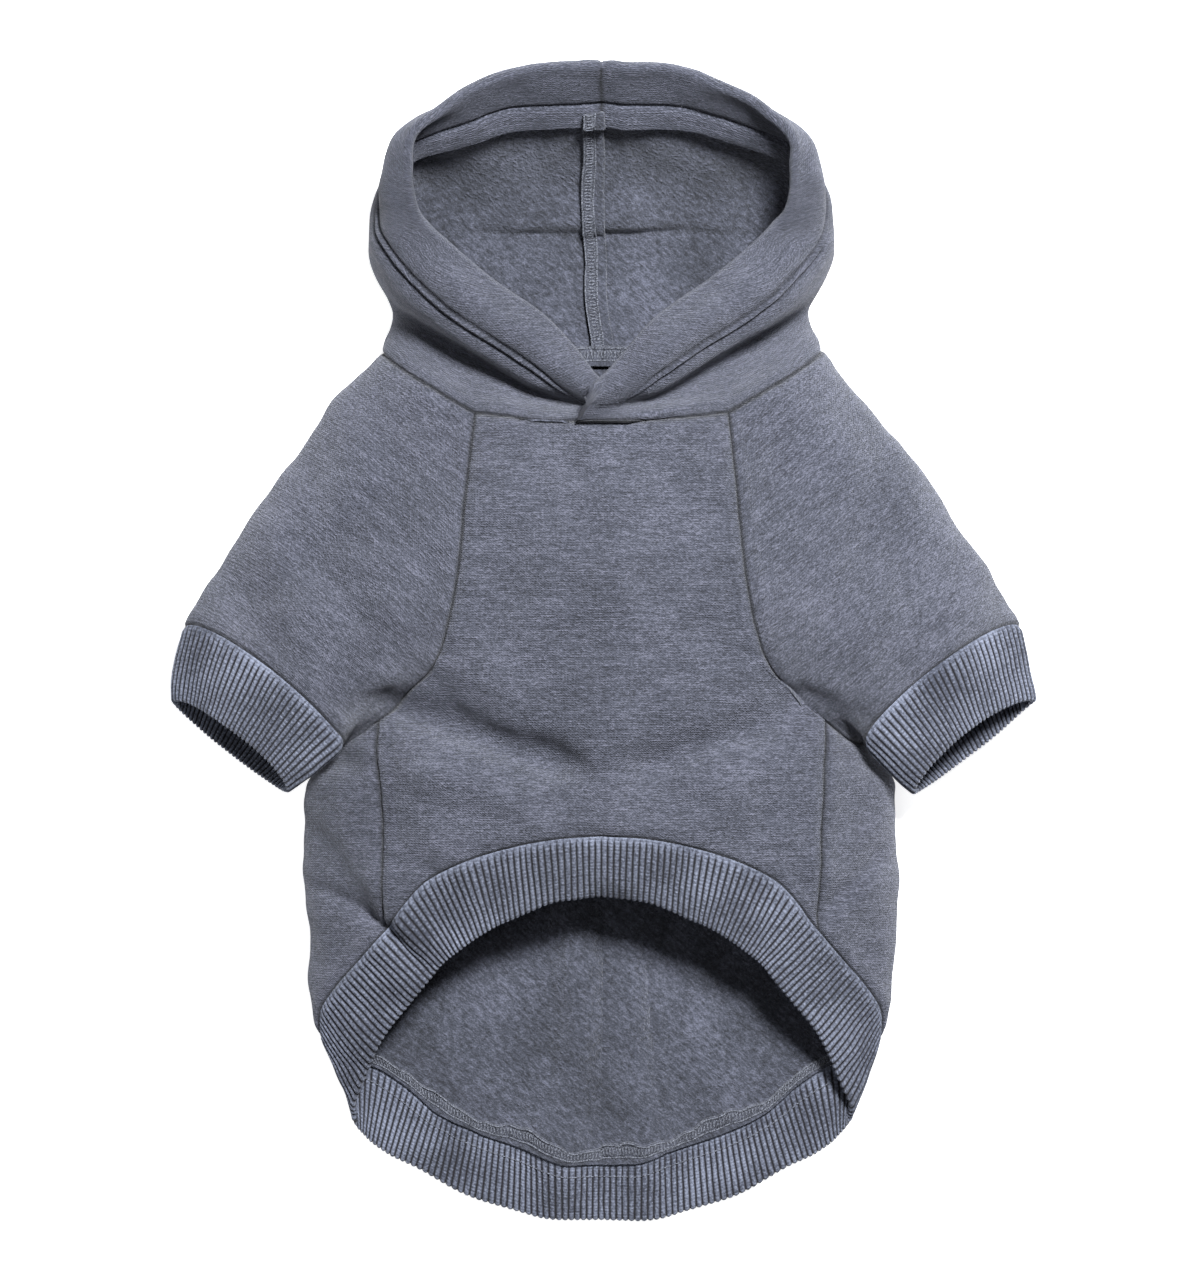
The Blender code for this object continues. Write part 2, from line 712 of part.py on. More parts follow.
def shell(panel):
    """Closed body of a panel: both faces of the cloth and its cut edges."""
    middle = seam_inset(panel)
    outer = middle + panel.normals * panel.outer[..., None]
    inner = middle - panel.normals * panel.inner[..., None]
    outer[..., 2] = np.maximum(outer[..., 2], 0.0)
    columns, rows = panel.grid.shape[:2]
    points = np.concatenate([outer.reshape(-1, 3), inner.reshape(-1, 3)])
    shift = columns * rows

    def number(index):
        return index[0] * rows + index[1]

    faces = []
    edge_uses = {}
    for cell in panel.cells():
        a, b, c, d = (number(index) for index in cell)
        if panel.flipped:
            b, d = d, b
        if np.linalg.norm(points[a] - points[c]) <= np.linalg.norm(points[b] - points[d]):
            halves = ((a, b, c), (a, c, d))
        else:
            halves = ((a, b, d), (b, c, d))
        for half in halves:
            faces.append(half)
            faces.append(tuple(shift + vertex for vertex in reversed(half)))
        for edge in ((a, b), (b, c), (c, d), (d, a)):
            edge_uses[edge] = True
    for start, end in edge_uses:
        if (end, start) in edge_uses:
            continue
        keys = [place_key(panel.grid[vertex // rows, vertex % rows]) for vertex in (start, end)]
        if keys[0] < keys[1]:
            faces.append((end, start, shift + end))
            faces.append((start, shift + start, shift + end))
        else:
            faces.append((end, start, shift + start))
            faces.append((end, shift + start, shift + end))
    return points, faces


def make_object(name, points, faces, finish):
    """Blender object of a closed body, in metres, with its own material."""
    mesh = bpy.data.meshes.new(name)
    mesh.from_pydata([tuple(point * METRES) for point in points], [], faces)
    mesh.shade_smooth()
    mesh.set_sharp_from_angle(angle=math.radians(50))
    label, colour, roughness = finish
    material = bpy.data.materials.new(f"{label} {name}")
    material.use_nodes = True
    shader = material.node_tree.nodes["Principled BSDF"]
    shader.inputs["Base Color"].default_value = (*colour, 1.0)
    shader.inputs["Roughness"].default_value = roughness
    shader.inputs["Metallic"].default_value = 0.0
    mesh.materials.append(material)
    body = bpy.data.objects.new(name, mesh)
    bpy.context.collection.objects.link(body)
    return body


def fold_hood_hem(panel):
    """Double the hood's cloth along its rim, where its edge is folded in."""
    for i in range(panel.grid.shape[0]):
        line = panel.grid[i]
        runs = np.linalg.norm(np.diff(line, axis=0), axis=1)
        for j in range(1, line.shape[0]):
            to_rim = runs[j:].sum()
            to_neck = runs[:j].sum()
            if to_rim <= HOOD_HEM_WIDTH and to_neck >= SINGLE_AT_THROAT:
                panel.inner[i, j] += FLEECE_WALL
    return panel


def lift_front_end(grid):
    """Raise the upper hood half's front end, which crosses over the lower one."""
    crossing = CROSSING_WALLS * FLEECE_WALL + CROSSING_GAPS * SEAM_GAP
    fading = LIFTED_COUNT - CROSSED_COUNT + 1
    for i in range(LIFTED_COUNT):
        if i < CROSSED_COUNT:
            along = 1.0 - CROSSING_FADE * i
        else:
            along = CROSSING_LEAD * (1 - smooth_step((i - CROSSED_COUNT + 1) / fading))
        for j in range(grid.shape[1]):
            if j == 0 and i >= CROSSED_COUNT:
                continue
            v = j / (grid.shape[1] - 1)
            rise = (1 - CROSSING_SEAM_SHARE) * smooth_step(CROSSING_RISE_RATE * v)
            grid[i, j, 2] += crossing * along * (CROSSING_SEAM_SHARE + rise)
            if j == 0:
                grid[i, j, 1] += CROSSING_SHIFT
    return grid


def strip_grid(edge, beyond, normals, beyond_normals, width):
    """Seam allowance along an edge, lying on the inner face of the cloth towards beyond."""
    lift = FLEECE_WALL + SEAM_GAP
    grid = np.zeros((len(edge), 3, 3))
    for i in range(len(edge)):
        reach = beyond[i] - edge[i]
        span = np.linalg.norm(reach)
        for j in range(3):
            share = (SEAM_GAP + (width - SEAM_GAP) * j / 2) / span
            normal = normals[i] * (1 - share) + beyond_normals[i] * share
            normal /= np.linalg.norm(normal)
            grid[i, j] = edge[i] + reach * share - normal * lift
    return grid


def cloth_panels():
    """Every main piece of cloth, with the seams that they share."""
    top = neck_front()
    raglan, raglan_rings = raglan_front()
    raglan[0] = top[0]
    seam = side_seam(raglan[-1])
    turns, ys, armhole_rings = armhole_back()
    back = back_grid(seam, turns, ys)
    armhole = back[:len(turns), 0]
    neckline, neck_rings = neck_sleeve(raglan[0], armhole[-1])
    neckline[0], neckline[-1] = raglan[0], armhole[-1]
    front = front_grid(top, np.concatenate([raglan, seam[1:]]))
    body_heart = (0.0, NECK_Y - BACK_LENGTH / 2, BODY_LOFT / 2)
    panels = [
        Panel("front_panel", front, body_heart, JERSEY, ("start", "end", "low", "high")),
        Panel("back_panel", back, body_heart, JERSEY, ("start", "end", "low", "high")),
    ]
    base = np.concatenate([raglan[::-1], neckline[1:], armhole[-2:0:-1]])
    rings = raglan_rings[::-1] + neck_rings[1:] + list(armhole_rings[-2:0:-1])
    sleeve, cuff = sleeve_grid(base, rings), cuff_grid(rings)
    low_turns = back_turns(turns)[1]
    hem_turns = [low_turns[0] * (2 * column / NECK_FRONT_COUNT - 1)
                 for column in range(NECK_FRONT_COUNT + 1)]
    hem_turns += low_turns[1:] + [-turn for turn in low_turns[-2:0:-1]]
    hem_line = np.concatenate([front[:, -1], back[::-1, -1][1:-1]])
    hem = hem_grid(hem_line, hem_turns)
    hem_heart = (0.0, NECK_Y - HEM_HEART_DOWN * BACK_LENGTH, HEM_HEART_HEIGHT * BODY_LOFT)
    panels.append(Panel("hem_band", hem, hem_heart, RIB, ("low",), RIB_WALL, True))
    throat = top[NECK_FRONT_COUNT // 2 + 1::-1]
    nape = back[len(turns):len(turns) + NECK_BACK_COUNT // 2, 0]
    hood = hood_grid(np.concatenate([throat, neckline[1:], nape]))
    hood_heart = (0.0, NECK_Y + HOOD_LENGTH * HOOD_HEART_FORWARD, HOOD_RISE / 2)
    for side, turned in (("left", lambda grid: grid), ("right", mirrored)):
        sleeve_part = turned(sleeve)
        panels.append(Panel(f"sleeve_{side}", sleeve_part, sleeve_part.mean(axis=(0, 1)), JERSEY,
                            ("low", "high"), FLEECE_WALL, True))
        cuff_part = turned(cuff)
        panels.append(Panel(f"cuff_{side}", cuff_part, cuff_part.mean(axis=(0, 1)), RIB,
                            ("low",), RIB_WALL, True))
        hood_part = turned(hood.copy())
        if side == "right":
            hood_part = lift_front_end(hood_part)
        panels.append(Panel(f"hood_{side}", hood_part, hood_heart, JERSEY, ("low", "end")))
    share_normals(panels)
    return panels


def allowance_panels(panels):
    """Overlocked seam allowances that show inside the hood and on the back hem."""
    named = {panel.name: panel for panel in panels}
    hood, right = named["hood_left"], named["hood_right"]
    back = named["back_panel"]
    run = slice(CENTRE_STRIP_FIRST, hood.grid.shape[1] - CENTRE_STRIP_SHORT)
    centre = strip_grid(hood.grid[-1, run], hood.grid[-2, run],
                        hood.normals[-1, run], hood.normals[-2, run], ALLOWANCE_WIDTH)
    columns = NECK_BACK_COUNT // 2 + 1
    parts = []
    for half in (hood, right):
        part = strip_grid(half.grid[-columns:, 0], half.grid[-columns:, 1],
                          half.normals[-columns:, 0], half.normals[-columns:, 1],
                          ALLOWANCE_WIDTH)
        parts.append(part)
    neck = np.concatenate([parts[0], parts[1][-2::-1]])
    run = slice(HEM_STRIP_FIRST, back.grid.shape[0] - HEM_STRIP_FIRST)
    hem = strip_grid(back.grid[run, -1], back.grid[run, -2],
                     back.normals[run, -1], back.normals[run, -2], HEM_ALLOWANCE_WIDTH)
    below = (0.0, 0.0, FAR_BELOW)
    strips = [
        Panel("hood_seam_allowance", centre, below, SEAM, ()),
        Panel("neck_seam_allowance", neck, below, SEAM, ()),
        Panel("hem_seam_allowance", hem, below, SEAM, ()),
    ]
    share_normals(strips)
    return strips


def main():
    """Empty the scene and make every piece."""
    for leftover in list(bpy.data.objects):
        bpy.data.objects.remove(leftover, do_unlink=True)
    panels = cloth_panels()
    for panel in panels:
        if panel.name.startswith("hood"):
            fold_hood_hem(panel)
    for panel in panels + allowance_panels(panels):
        points, faces = shell(panel)
        make_object(panel.name, points, faces, panel.finish)


if __name__ == "__main__":
    main()
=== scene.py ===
"""Dog hoodie lying on its back, dressed in melange fleece jersey and rib knit.

X runs across the garment, Y along it towards the hood, and Z up from the surface it lies on.
Shapes are worked out in millimetres and become metres where meshes are made. Each cloth
piece is a grid on the cloth's middle surface, given two faces, rolled seams and turned edges.
"""
import logging
import math
from dataclasses import dataclass, field
from enum import Enum

import bpy
import numpy as np
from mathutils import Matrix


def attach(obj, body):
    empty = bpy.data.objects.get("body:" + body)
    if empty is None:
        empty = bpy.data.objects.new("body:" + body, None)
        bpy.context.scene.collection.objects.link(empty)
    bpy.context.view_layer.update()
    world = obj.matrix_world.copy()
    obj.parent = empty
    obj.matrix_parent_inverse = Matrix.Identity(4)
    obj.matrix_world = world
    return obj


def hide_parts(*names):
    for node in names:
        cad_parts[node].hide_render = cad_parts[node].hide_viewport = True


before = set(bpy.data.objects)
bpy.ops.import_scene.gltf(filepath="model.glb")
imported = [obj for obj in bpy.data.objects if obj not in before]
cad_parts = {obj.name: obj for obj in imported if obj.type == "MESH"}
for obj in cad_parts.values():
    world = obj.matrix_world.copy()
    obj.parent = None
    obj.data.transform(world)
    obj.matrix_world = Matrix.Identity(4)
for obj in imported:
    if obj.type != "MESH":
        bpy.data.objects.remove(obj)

LOG = logging.getLogger("dog_hoodie")
METRES = 0.001
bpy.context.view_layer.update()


class Spot(Enum):
    """Which face of a cloth piece a mesh face belongs to."""

    FACE = 0
    BACK = 1


class Edge(Enum):
    """An edge of a cloth grid."""

    START = "start"
    END = "end"
    LOW = "low"
    HIGH = "high"


@dataclass(frozen=True)
class Pattern:
    """Sizes of the garment in millimetres, as the solids have them."""

    back_length: float = 359.0
    hood_length: float = 126.0
    body_half_width: float = 124.0
    body_loft: float = 55.0
    hood_half_width: float = 94.5
    hood_rise: float = 62.0
    neck_drop: float = 22.0
    neck_half_width: float = 90.0
    sleeve_reach: float = 180.5
    sleeve_drop: float = 184.0
    cuff_length: float = 28.0
    rib_band_width: float = 26.0
    fleece_wall: float = 2.4
    rib_wall: float = 3.0
    hood_hem_width: float = 24.0
    allowance_width: float = 8.0
    hem_allowance_width: float = 5.0
    seam_gap: float = 0.3
    under_radius: float = 9.0
    under_round_share: float = 0.2
    neck_sag: float = 4.0
    side_seam_foot_x: float = 91.0
    crown_power: float = 1.15

    @property
    def neck_y(self) -> float:
        """Y of the back neck."""
        return (self.back_length - self.hood_length) / 2

    @property
    def half_wall(self) -> float:
        """Half the fleece's thickness, which is also the middle surface's lowest height."""
        return self.fleece_wall / 2


@dataclass(frozen=True)
class Steps:
    """Grid steps along the shared seams, fine enough for folds and rolled seams."""

    neck_front: int = 140
    raglan: int = 78
    side_seam: int = 116
    armhole: int = 104
    neck_sleeve: int = 84
    neck_back: int = 100
    sleeve: int = 84
    hood_cloth: int = 74
    hood_facing: int = 36
    throat_overlap: int = 10


P = Pattern()
S = Steps()
SEWN_GAP = 0.02
# The cloth that each overlocked strip is sewn to
STRIP_PARENTS = {"hood_seam_allowance": "hood_left", "neck_seam_allowance": "hood_right",
                 "hem_seam_allowance": "back_panel"}

# Way down the back, half width, loft and side fold height, shares of the body's sizes
BODY_SECTIONS = (
    (-0.020, 0.730, 0.80, 0.17), (0.060, 0.765, 0.86, 0.17), (0.160, 0.830, 0.95, 0.17),
    (0.320, 0.885, 1.00, 0.18), (0.439, 0.905, 0.98, 0.18), (0.462, 0.930, 0.97, 0.18),
    (0.495, 0.995, 0.95, 0.18), (0.530, 1.000, 0.93, 0.18), (0.624, 0.995, 0.86, 0.17),
    (0.744, 0.975, 0.62, 0.16), (0.785, 0.945, 0.50, 0.15), (0.837, 0.885, 0.36, 0.14),
    (0.870, 0.860, 0.28, 0.13),
)
# Front raglan seam: outward, way down, turn on the cuff's ring
RAGLAN_FRONT = (
    (0.590, 0.056, 125.0), (0.637, 0.162, 104.0), (0.670, 0.245, 86.0), (0.726, 0.317, 68.0),
    (0.796, 0.357, 54.0), (0.903, 0.384, 42.0), (1.040, 0.417, 22.0), (1.164, 0.441, 0.0),
)
# Armhole under the body: turn round the section, way down, turn on the cuff's ring
ARMHOLE_BACK = (
    (80.0, 0.440, 332.0), (92.0, 0.428, 303.0), (104.0, 0.395, 280.0), (114.0, 0.325, 264.0),
    (124.0, 0.230, 250.0), (133.0, 0.115, 238.0), (140.0, 0.000, 228.0),
)
# Neckline of the sleeve: outward, way down, height, turn on the cuff's ring
NECK_SLEEVE = (
    (0.726, 0.590, 0.650, 134.0), (0.866, 0.245, 0.530, 146.0), (0.987, -0.100, 0.345, 160.0),
    (1.020, -0.250, 0.200, 176.0), (0.978, -0.290, 0.075, 194.0), (0.800, -0.140, 0.022, 212.0),
)
# Hem seam: turn round the section, way down
HEM_SEAM = (
    (0.0, 0.550), (8.0, 0.553), (20.0, 0.567), (36.0, 0.602), (47.5, 0.660), (55.0, 0.691),
    (65.0, 0.723), (72.0, 0.742), (82.0, 0.764), (90.0, 0.785), (102.0, 0.805), (113.0, 0.824),
    (120.0, 0.845), (128.0, 0.876), (142.0, 0.902), (159.0, 0.923), (170.0, 0.938),
    (180.0, 0.938),
)
# Free edge of the rib band: turn, outward, way past the seam, height
HEM_EDGE = (
    (0.0, 0.000, 0.967, 0.720), (8.0, 0.130, 0.967, 0.715), (20.0, 0.310, 1.105, 0.690),
    (36.0, 0.472, 1.049, 0.630), (47.5, 0.580, 0.718, 0.570), (55.0, 0.655, 0.732, 0.500),
    (65.0, 0.737, 0.787, 0.400), (72.0, 0.777, 0.884, 0.320), (82.0, 0.818, 1.036, 0.220),
    (90.0, 0.852, 1.146, 0.130), (102.0, 0.845, 1.091, 0.040), (113.0, 0.798, 1.105, 0.022),
    (120.0, 0.733, 1.049, 0.022), (128.0, 0.625, 0.870, 0.022), (142.0, 0.445, 0.980, 0.022),
    (159.0, 0.236, 0.994, 0.022), (170.0, 0.107, 0.856, 0.022), (180.0, 0.000, 0.856, 0.022),
)
# The hood's four lines from the throat over cheek and temple to the brow
HOOD_VALLEY = (
    (-0.082, -0.155, 0.750), (0.241, -0.099, 0.600), (0.590, 0.046, 0.450),
    (0.811, 0.146, 0.310), (0.909, 0.172, 0.200), (0.882, 0.218, 0.030), (0.648, 0.268, 0.026),
    (0.400, 0.330, 0.026), (0.200, 0.345, 0.026), (0.000, 0.350, 0.026),
)
HOOD_BULGE = (
    (-0.065, -0.135, 0.775), (0.267, -0.056, 0.760), (0.626, 0.096, 0.690),
    (0.855, 0.205, 0.580), (1.000, 0.324, 0.387), (1.019, 0.384, 0.190), (0.957, 0.520, 0.190),
    (0.740, 0.610, 0.190), (0.380, 0.600, 0.200), (0.000, 0.599, 0.210),
)
HOOD_CREST = (
    (-0.045, -0.115, 0.800), (0.272, 0.030, 0.870), (0.608, 0.198, 0.840),
    (0.802, 0.311, 0.770), (0.944, 0.417, 0.690), (0.979, 0.496, 0.645), (0.962, 0.615, 0.700),
    (0.860, 0.760, 0.700), (0.450, 0.845, 0.720), (0.000, 0.863, 0.740),
)
HOOD_RIM = (
    (-0.025, -0.090, 0.825), (0.232, 0.129, 0.820), (0.511, 0.281, 0.810),
    (0.670, 0.380, 0.790), (0.776, 0.453, 0.780), (0.842, 0.516, 0.810), (0.860, 0.640, 0.870),
    (0.815, 0.795, 0.935), (0.440, 0.958, 0.985), (0.000, 0.995, 1.000),
)
HOOD_STATIONS = (2.0, 6.0, 9.0)
# Soft folds pressed into the body: across and down at both ends, width, depth
CHEST_FOLDS = ((-0.72, 0.385, -0.20, 0.455, 0.085, 0.085), (0.70, 0.375, 0.24, 0.455, 0.080, 0.050))
BACK_RIDGES = ((-0.14, 0.930, -0.06, 0.600, 0.110, 0.090), (0.34, 0.920, 0.27, 0.620, 0.110, 0.090))


def smooth_step(value: np.ndarray) -> np.ndarray:
    """Ease from 0 to 1 while value goes from 0 to 1."""
    value = np.clip(value, 0.0, 1.0)
    return value * value * (3 - 2 * value)


def hump(value: np.ndarray, width: float) -> np.ndarray:
    """Bell curve of height 1 with a half width."""
    return np.exp(-((value / width) ** 2))


class Table:
    """Short table of numbers that is read smoothly between its rows."""

    def __init__(self, rows: tuple) -> None:
        """Keep the rows as numbers."""
        self.rows = np.asarray(rows, dtype=float)

    def along(self, place: np.ndarray) -> np.ndarray:
        """Rows at row numbers, fractions allowed.

        Args:
            place: Row numbers.

        Returns:
            One row of values for each number, on a smooth curve through the rows.
        """
        rows = self.rows
        place = np.clip(np.asarray(place, dtype=float), 0.0, len(rows) - 1.0)
        index = np.minimum(place.astype(int), len(rows) - 2)
        share = (place - index)[..., None]
        padded = np.concatenate([[2 * rows[0] - rows[1]], rows, [2 * rows[-1] - rows[-2]]])
        before, start, end, after = (padded[index + k] for k in range(4))
        leave, arrive = (end - before) / 2, (after - start) / 2
        s2, s3 = share * share, share ** 3
        return ((2 * s3 - 3 * s2 + 1) * start + (s3 - 2 * s2 + share) * leave
                + (3 * s2 - 2 * s3) * end + (s3 - s2) * arrive)

    def at(self, key: np.ndarray) -> np.ndarray:
        """Columns after the first where the first column equals key.

        Args:
            key: Values of the first column.

        Returns:
            The other columns, read without overshoot.
        """
        keys, values = self.rows[:, 0], self.rows[:, 1:]
        key = np.clip(np.asarray(key, dtype=float), keys[0], keys[-1])
        index = np.clip(np.searchsorted(keys, key, side="left") - 1, 0, len(keys) - 2)
        slopes = np.diff(values, axis=0) / np.diff(keys)[:, None]
        bends = np.zeros_like(values)
        product = slopes[:-1] * slopes[1:]
        bends[1:-1] = np.where(product > 0, 2 * product / (slopes[:-1] + slopes[1:] + 1e-12), 0.0)
        bends[0], bends[-1] = slopes[0], slopes[-1]
        span = (keys[index + 1] - keys[index])[..., None]
        share = (key - keys[index])[..., None] / span
        s2, s3 = share * share, share ** 3
        return ((2 * s3 - 3 * s2 + 1) * values[index] + (s3 - 2 * s2 + share) * span * bends[index]
                + (3 * s2 - 2 * s3) * values[index + 1] + (s3 - s2) * span * bends[index + 1])


def crowded(count: int, start: float = 0.0, end: float = 0.0) -> np.ndarray:
    """Shares from 0 to 1 that crowd towards the ends.

    Args:
        count: Number of steps.
        start: How much they crowd at 0, from 0 to under 1.
        end: How much they crowd at 1, from 0 to under 1.

    Returns:
        count + 1 shares.
    """
    t = np.linspace(0.0, 1.0, count + 1)
    pace = 1 - start * hump(t, 0.22) - end * hump(1 - t, 0.22)
    total = np.concatenate([[0.0], np.cumsum((pace[1:] + pace[:-1]) / 2)])
    return total / total[-1]


def mirrored(points: np.ndarray) -> np.ndarray:
    """The same points on the other side of the garment."""
    return points * np.array((-1.0, 1.0, 1.0))


class BodyForm:
    """The body's middle surface and the seams that lie on it."""

    def __init__(self) -> None:
        """Settle where the side seam meets the hem."""
        self.sections = Table(BODY_SECTIONS)
        self.hem = Table(HEM_SEAM)
        turn = 45.0
        for _ in range(30):
            turn = float(self.turn_at(np.array(P.side_seam_foot_x), self.hem_y(np.array(turn))))
        self.foot_turn = turn

    def section(self, y: np.ndarray) -> tuple[np.ndarray, np.ndarray, np.ndarray]:
        """Half width, loft and side fold height of the body at y."""
        found = self.sections.at((P.neck_y - y) / P.back_length)
        return found[..., 0] * P.body_half_width, found[..., 1] * P.body_loft, found[..., 2] * P.body_loft

    def relief(self, rows: tuple, x: np.ndarray, y: np.ndarray) -> np.ndarray:
        """Summed height of soft straight folds seen from above.

        Args:
            rows: Start and end, width and height of each fold.
            x: Places across.
            y: Places along.

        Returns:
            Height at each place.
        """
        total = np.zeros(np.broadcast(x, y).shape)
        for x0, down0, x1, down1, width, height in rows:
            start = (x0 * P.body_half_width, P.neck_y - down0 * P.back_length)
            end = (x1 * P.body_half_width, P.neck_y - down1 * P.back_length)
            reach = width * P.body_half_width
            total += height * P.body_loft * fold_height(x, y, start, end, reach)
        return total

    def point(self, turn: np.ndarray, y: np.ndarray) -> np.ndarray:
        """Points of the surface, with turn 0 at the front and 180 at the back.

        Args:
            turn: Degrees round the section, negative on the left.
            y: Places along.

        Returns:
            One point for each turn and y.
        """
        turn, y = np.broadcast_arrays(np.asarray(turn, dtype=float), np.asarray(y, dtype=float))
        half_width, loft, fold = self.section(y)
        side = np.where(turn < 0, -1.0, 1.0)
        turn = np.abs(turn)
        angle = np.radians(np.minimum(turn, 90.0))
        lean = np.maximum(np.cos(angle), 0.0)
        x_top = half_width * np.sin(angle)
        z_top = fold + (loft - fold) * lean ** P.crown_power
        z_top -= self.relief(CHEST_FOLDS, side * x_top, y) * lean
        share = np.clip((turn - 90) / 90, 0.0, 1.0)
        curl = np.radians(90 * np.minimum(share / P.under_round_share, 1.0))
        x_curl = half_width - P.under_radius * (1 - np.cos(curl))
        z_curl = fold - (fold - P.half_wall) * np.sin(curl)
        x_flat = (half_width - P.under_radius) * (1 - share) / (1 - P.under_round_share)
        z_flat = P.half_wall + self.relief(BACK_RIDGES, side * x_flat, y)
        flat = share >= P.under_round_share
        x = np.where(turn <= 90, x_top, np.where(flat, x_flat, x_curl))
        z = np.where(turn <= 90, z_top, np.where(flat, z_flat, z_curl))
        return np.stack([side * x, y, z], axis=-1)

    def turn_at(self, x: np.ndarray, y: np.ndarray) -> np.ndarray:
        """Turn of the point on top that lies x from the middle at y."""
        return np.degrees(np.arcsin(np.clip(x / self.section(y)[0], -1.0, 1.0)))

    def top(self, x: np.ndarray, y: np.ndarray) -> np.ndarray:
        """Points on top of the body, seen from above at x and y."""
        return self.point(self.turn_at(x, y), y)

    def hem_y(self, turn: np.ndarray) -> np.ndarray:
        """Y of the hem seam at a turn round the section."""
        return P.neck_y - self.hem.at(np.abs(turn))[..., 0] * P.back_length

    def raglan(self, shares: np.ndarray) -> tuple[np.ndarray, np.ndarray]:
        """Left front raglan seam from the neck to the side seam, with its cuff turns."""
        found = Table(RAGLAN_FRONT).along(shares * (len(RAGLAN_FRONT) - 2))
        points = self.top(-found[:, 0] * P.neck_half_width, P.neck_y - found[:, 1] * P.back_length)
        return points, found[:, 2]

    def armhole(self, shares: np.ndarray) -> np.ndarray:
        """Left armhole round below to the back neck: turn, y and cuff turn."""
        rows = []
        for out, down, ring in RAGLAN_FRONT[-2:]:
            y = P.neck_y - down * P.back_length
            turn = float(self.turn_at(np.array(out * P.neck_half_width), np.array(y)))
            rows.append((abs(turn), down, ring + 360.0))
        rows += ARMHOLE_BACK
        found = Table(tuple(rows)).along(shares * (len(rows) - 1))
        found[:, 1] = P.neck_y - found[:, 1] * P.back_length
        return found

    def neck_front(self, shares: np.ndarray) -> np.ndarray:
        """Neck seam of the front panel from the left raglan to the right one."""
        out, down = RAGLAN_FRONT[0][:2]
        across = 2 * shares - 1
        y = P.neck_y - down * P.back_length - P.neck_sag * (1 - across * across)
        return self.top(across * out * P.neck_half_width, y)

    def side_seam(self, start: np.ndarray, shares: np.ndarray) -> np.ndarray:
        """Left side seam from the raglan seam straight down to the hem seam."""
        foot_y = float(self.hem_y(np.array(self.foot_turn)))
        x = start[0] + (-P.side_seam_foot_x - start[0]) * shares
        return self.top(x, start[1] + (foot_y - start[1]) * shares)

    def neck_sleeve(self, start: np.ndarray, end: np.ndarray, shares: np.ndarray) -> tuple:
        """Left neckline of the sleeve from the front raglan to the back, with cuff turns.

        Args:
            start: Where the front raglan seam ends.
            end: Where the armhole ends.
            shares: Places along the neckline.

        Returns:
            The points and their turns on the cuff's ring.
        """
        rows = [(*start, RAGLAN_FRONT[0][2])]
        for out, down, height, ring in NECK_SLEEVE:
            rows.append((-out * P.neck_half_width, P.neck_y - down * P.neck_drop,
                         max(height * P.body_loft, P.half_wall), ring))
        rows.append((*end, ARMHOLE_BACK[-1][2]))
        found = Table(tuple(rows)).along(shares * (len(rows) - 1))
        found[:, 2] = np.maximum(found[:, 2], P.half_wall)
        return found[:, :3], found[:, 3]


def fold_height(x: np.ndarray, y: np.ndarray, start: tuple, end: tuple, reach: float) -> np.ndarray:
    """Height, at most 1, of one soft fold between two places seen from above.

    Args:
        x: Places across.
        y: Places along.
        start: Where the fold starts.
        end: Where it ends.
        reach: Its half width.

    Returns:
        Height at each place.
    """
    along = np.array(end) - np.array(start)
    length = float(np.hypot(*along))
    run = ((x - start[0]) * along[0] + (y - start[1]) * along[1]) / length
    side = ((x - start[0]) * along[1] - (y - start[1]) * along[0]) / length
    past = np.maximum(np.maximum(-run, run - length), 0.0)
    return np.exp(-(side / reach) ** 2 - (past / (2 * reach)) ** 2)


@dataclass
class CuffForm:
    """The cuff's tilted ring, whose shape the sleeve runs to."""

    inner_end: tuple = (0.613, 0.870, 0.590)
    outer_end: tuple = (0.975, 0.596, 0.170)
    half_height: float = 0.235
    bow: float = 0.300
    lip_bow: float = 0.240
    narrowing: float = 0.75
    lift_kept: float = 0.4
    under_bow: float = 0.3
    axis: tuple = (0.46, -0.87, -0.14)

    def ring(self, turn: np.ndarray, past: np.ndarray) -> np.ndarray:
        """Points of the left ring. Turn is 0 inside, 90 on top and 180 outside.

        Args:
            turn: Degrees round the ring.
            past: Way from the seam, 0, to the lip, 1.

        Returns:
            One point for each.
        """
        turn, past = np.broadcast_arrays(np.asarray(turn, dtype=float), np.asarray(past, dtype=float))
        ends = [np.array((-out * P.sleeve_reach, P.neck_y - down * P.sleeve_drop, height * P.body_loft))
                for out, down, height in (self.inner_end, self.outer_end)]
        half = (ends[0] - ends[1]) / 2
        across = np.array((-half[1], half[0], 0.0))
        across /= np.linalg.norm(across)
        axis = np.array((-self.axis[0], self.axis[1], self.axis[2]))
        axis = axis / np.linalg.norm(axis) * P.cuff_length
        narrow = 1 + (self.narrowing - 1) * past
        bow = (self.bow + (self.lip_bow - self.bow) * past) * P.cuff_length
        angle = np.radians(turn)
        lift = np.sin(angle)
        point = (ends[0] + ends[1]) / 2 + past[..., None] * axis + (narrow * np.cos(angle))[..., None] * half
        point = point + (bow * np.where(lift > 0, lift, self.under_bow * lift))[..., None] * across
        point[..., 2] += self.half_height * P.body_loft * lift * (
            self.lift_kept + (1 - self.lift_kept) * narrow)
        point[..., 2] = np.maximum(point[..., 2], P.half_wall)
        return point


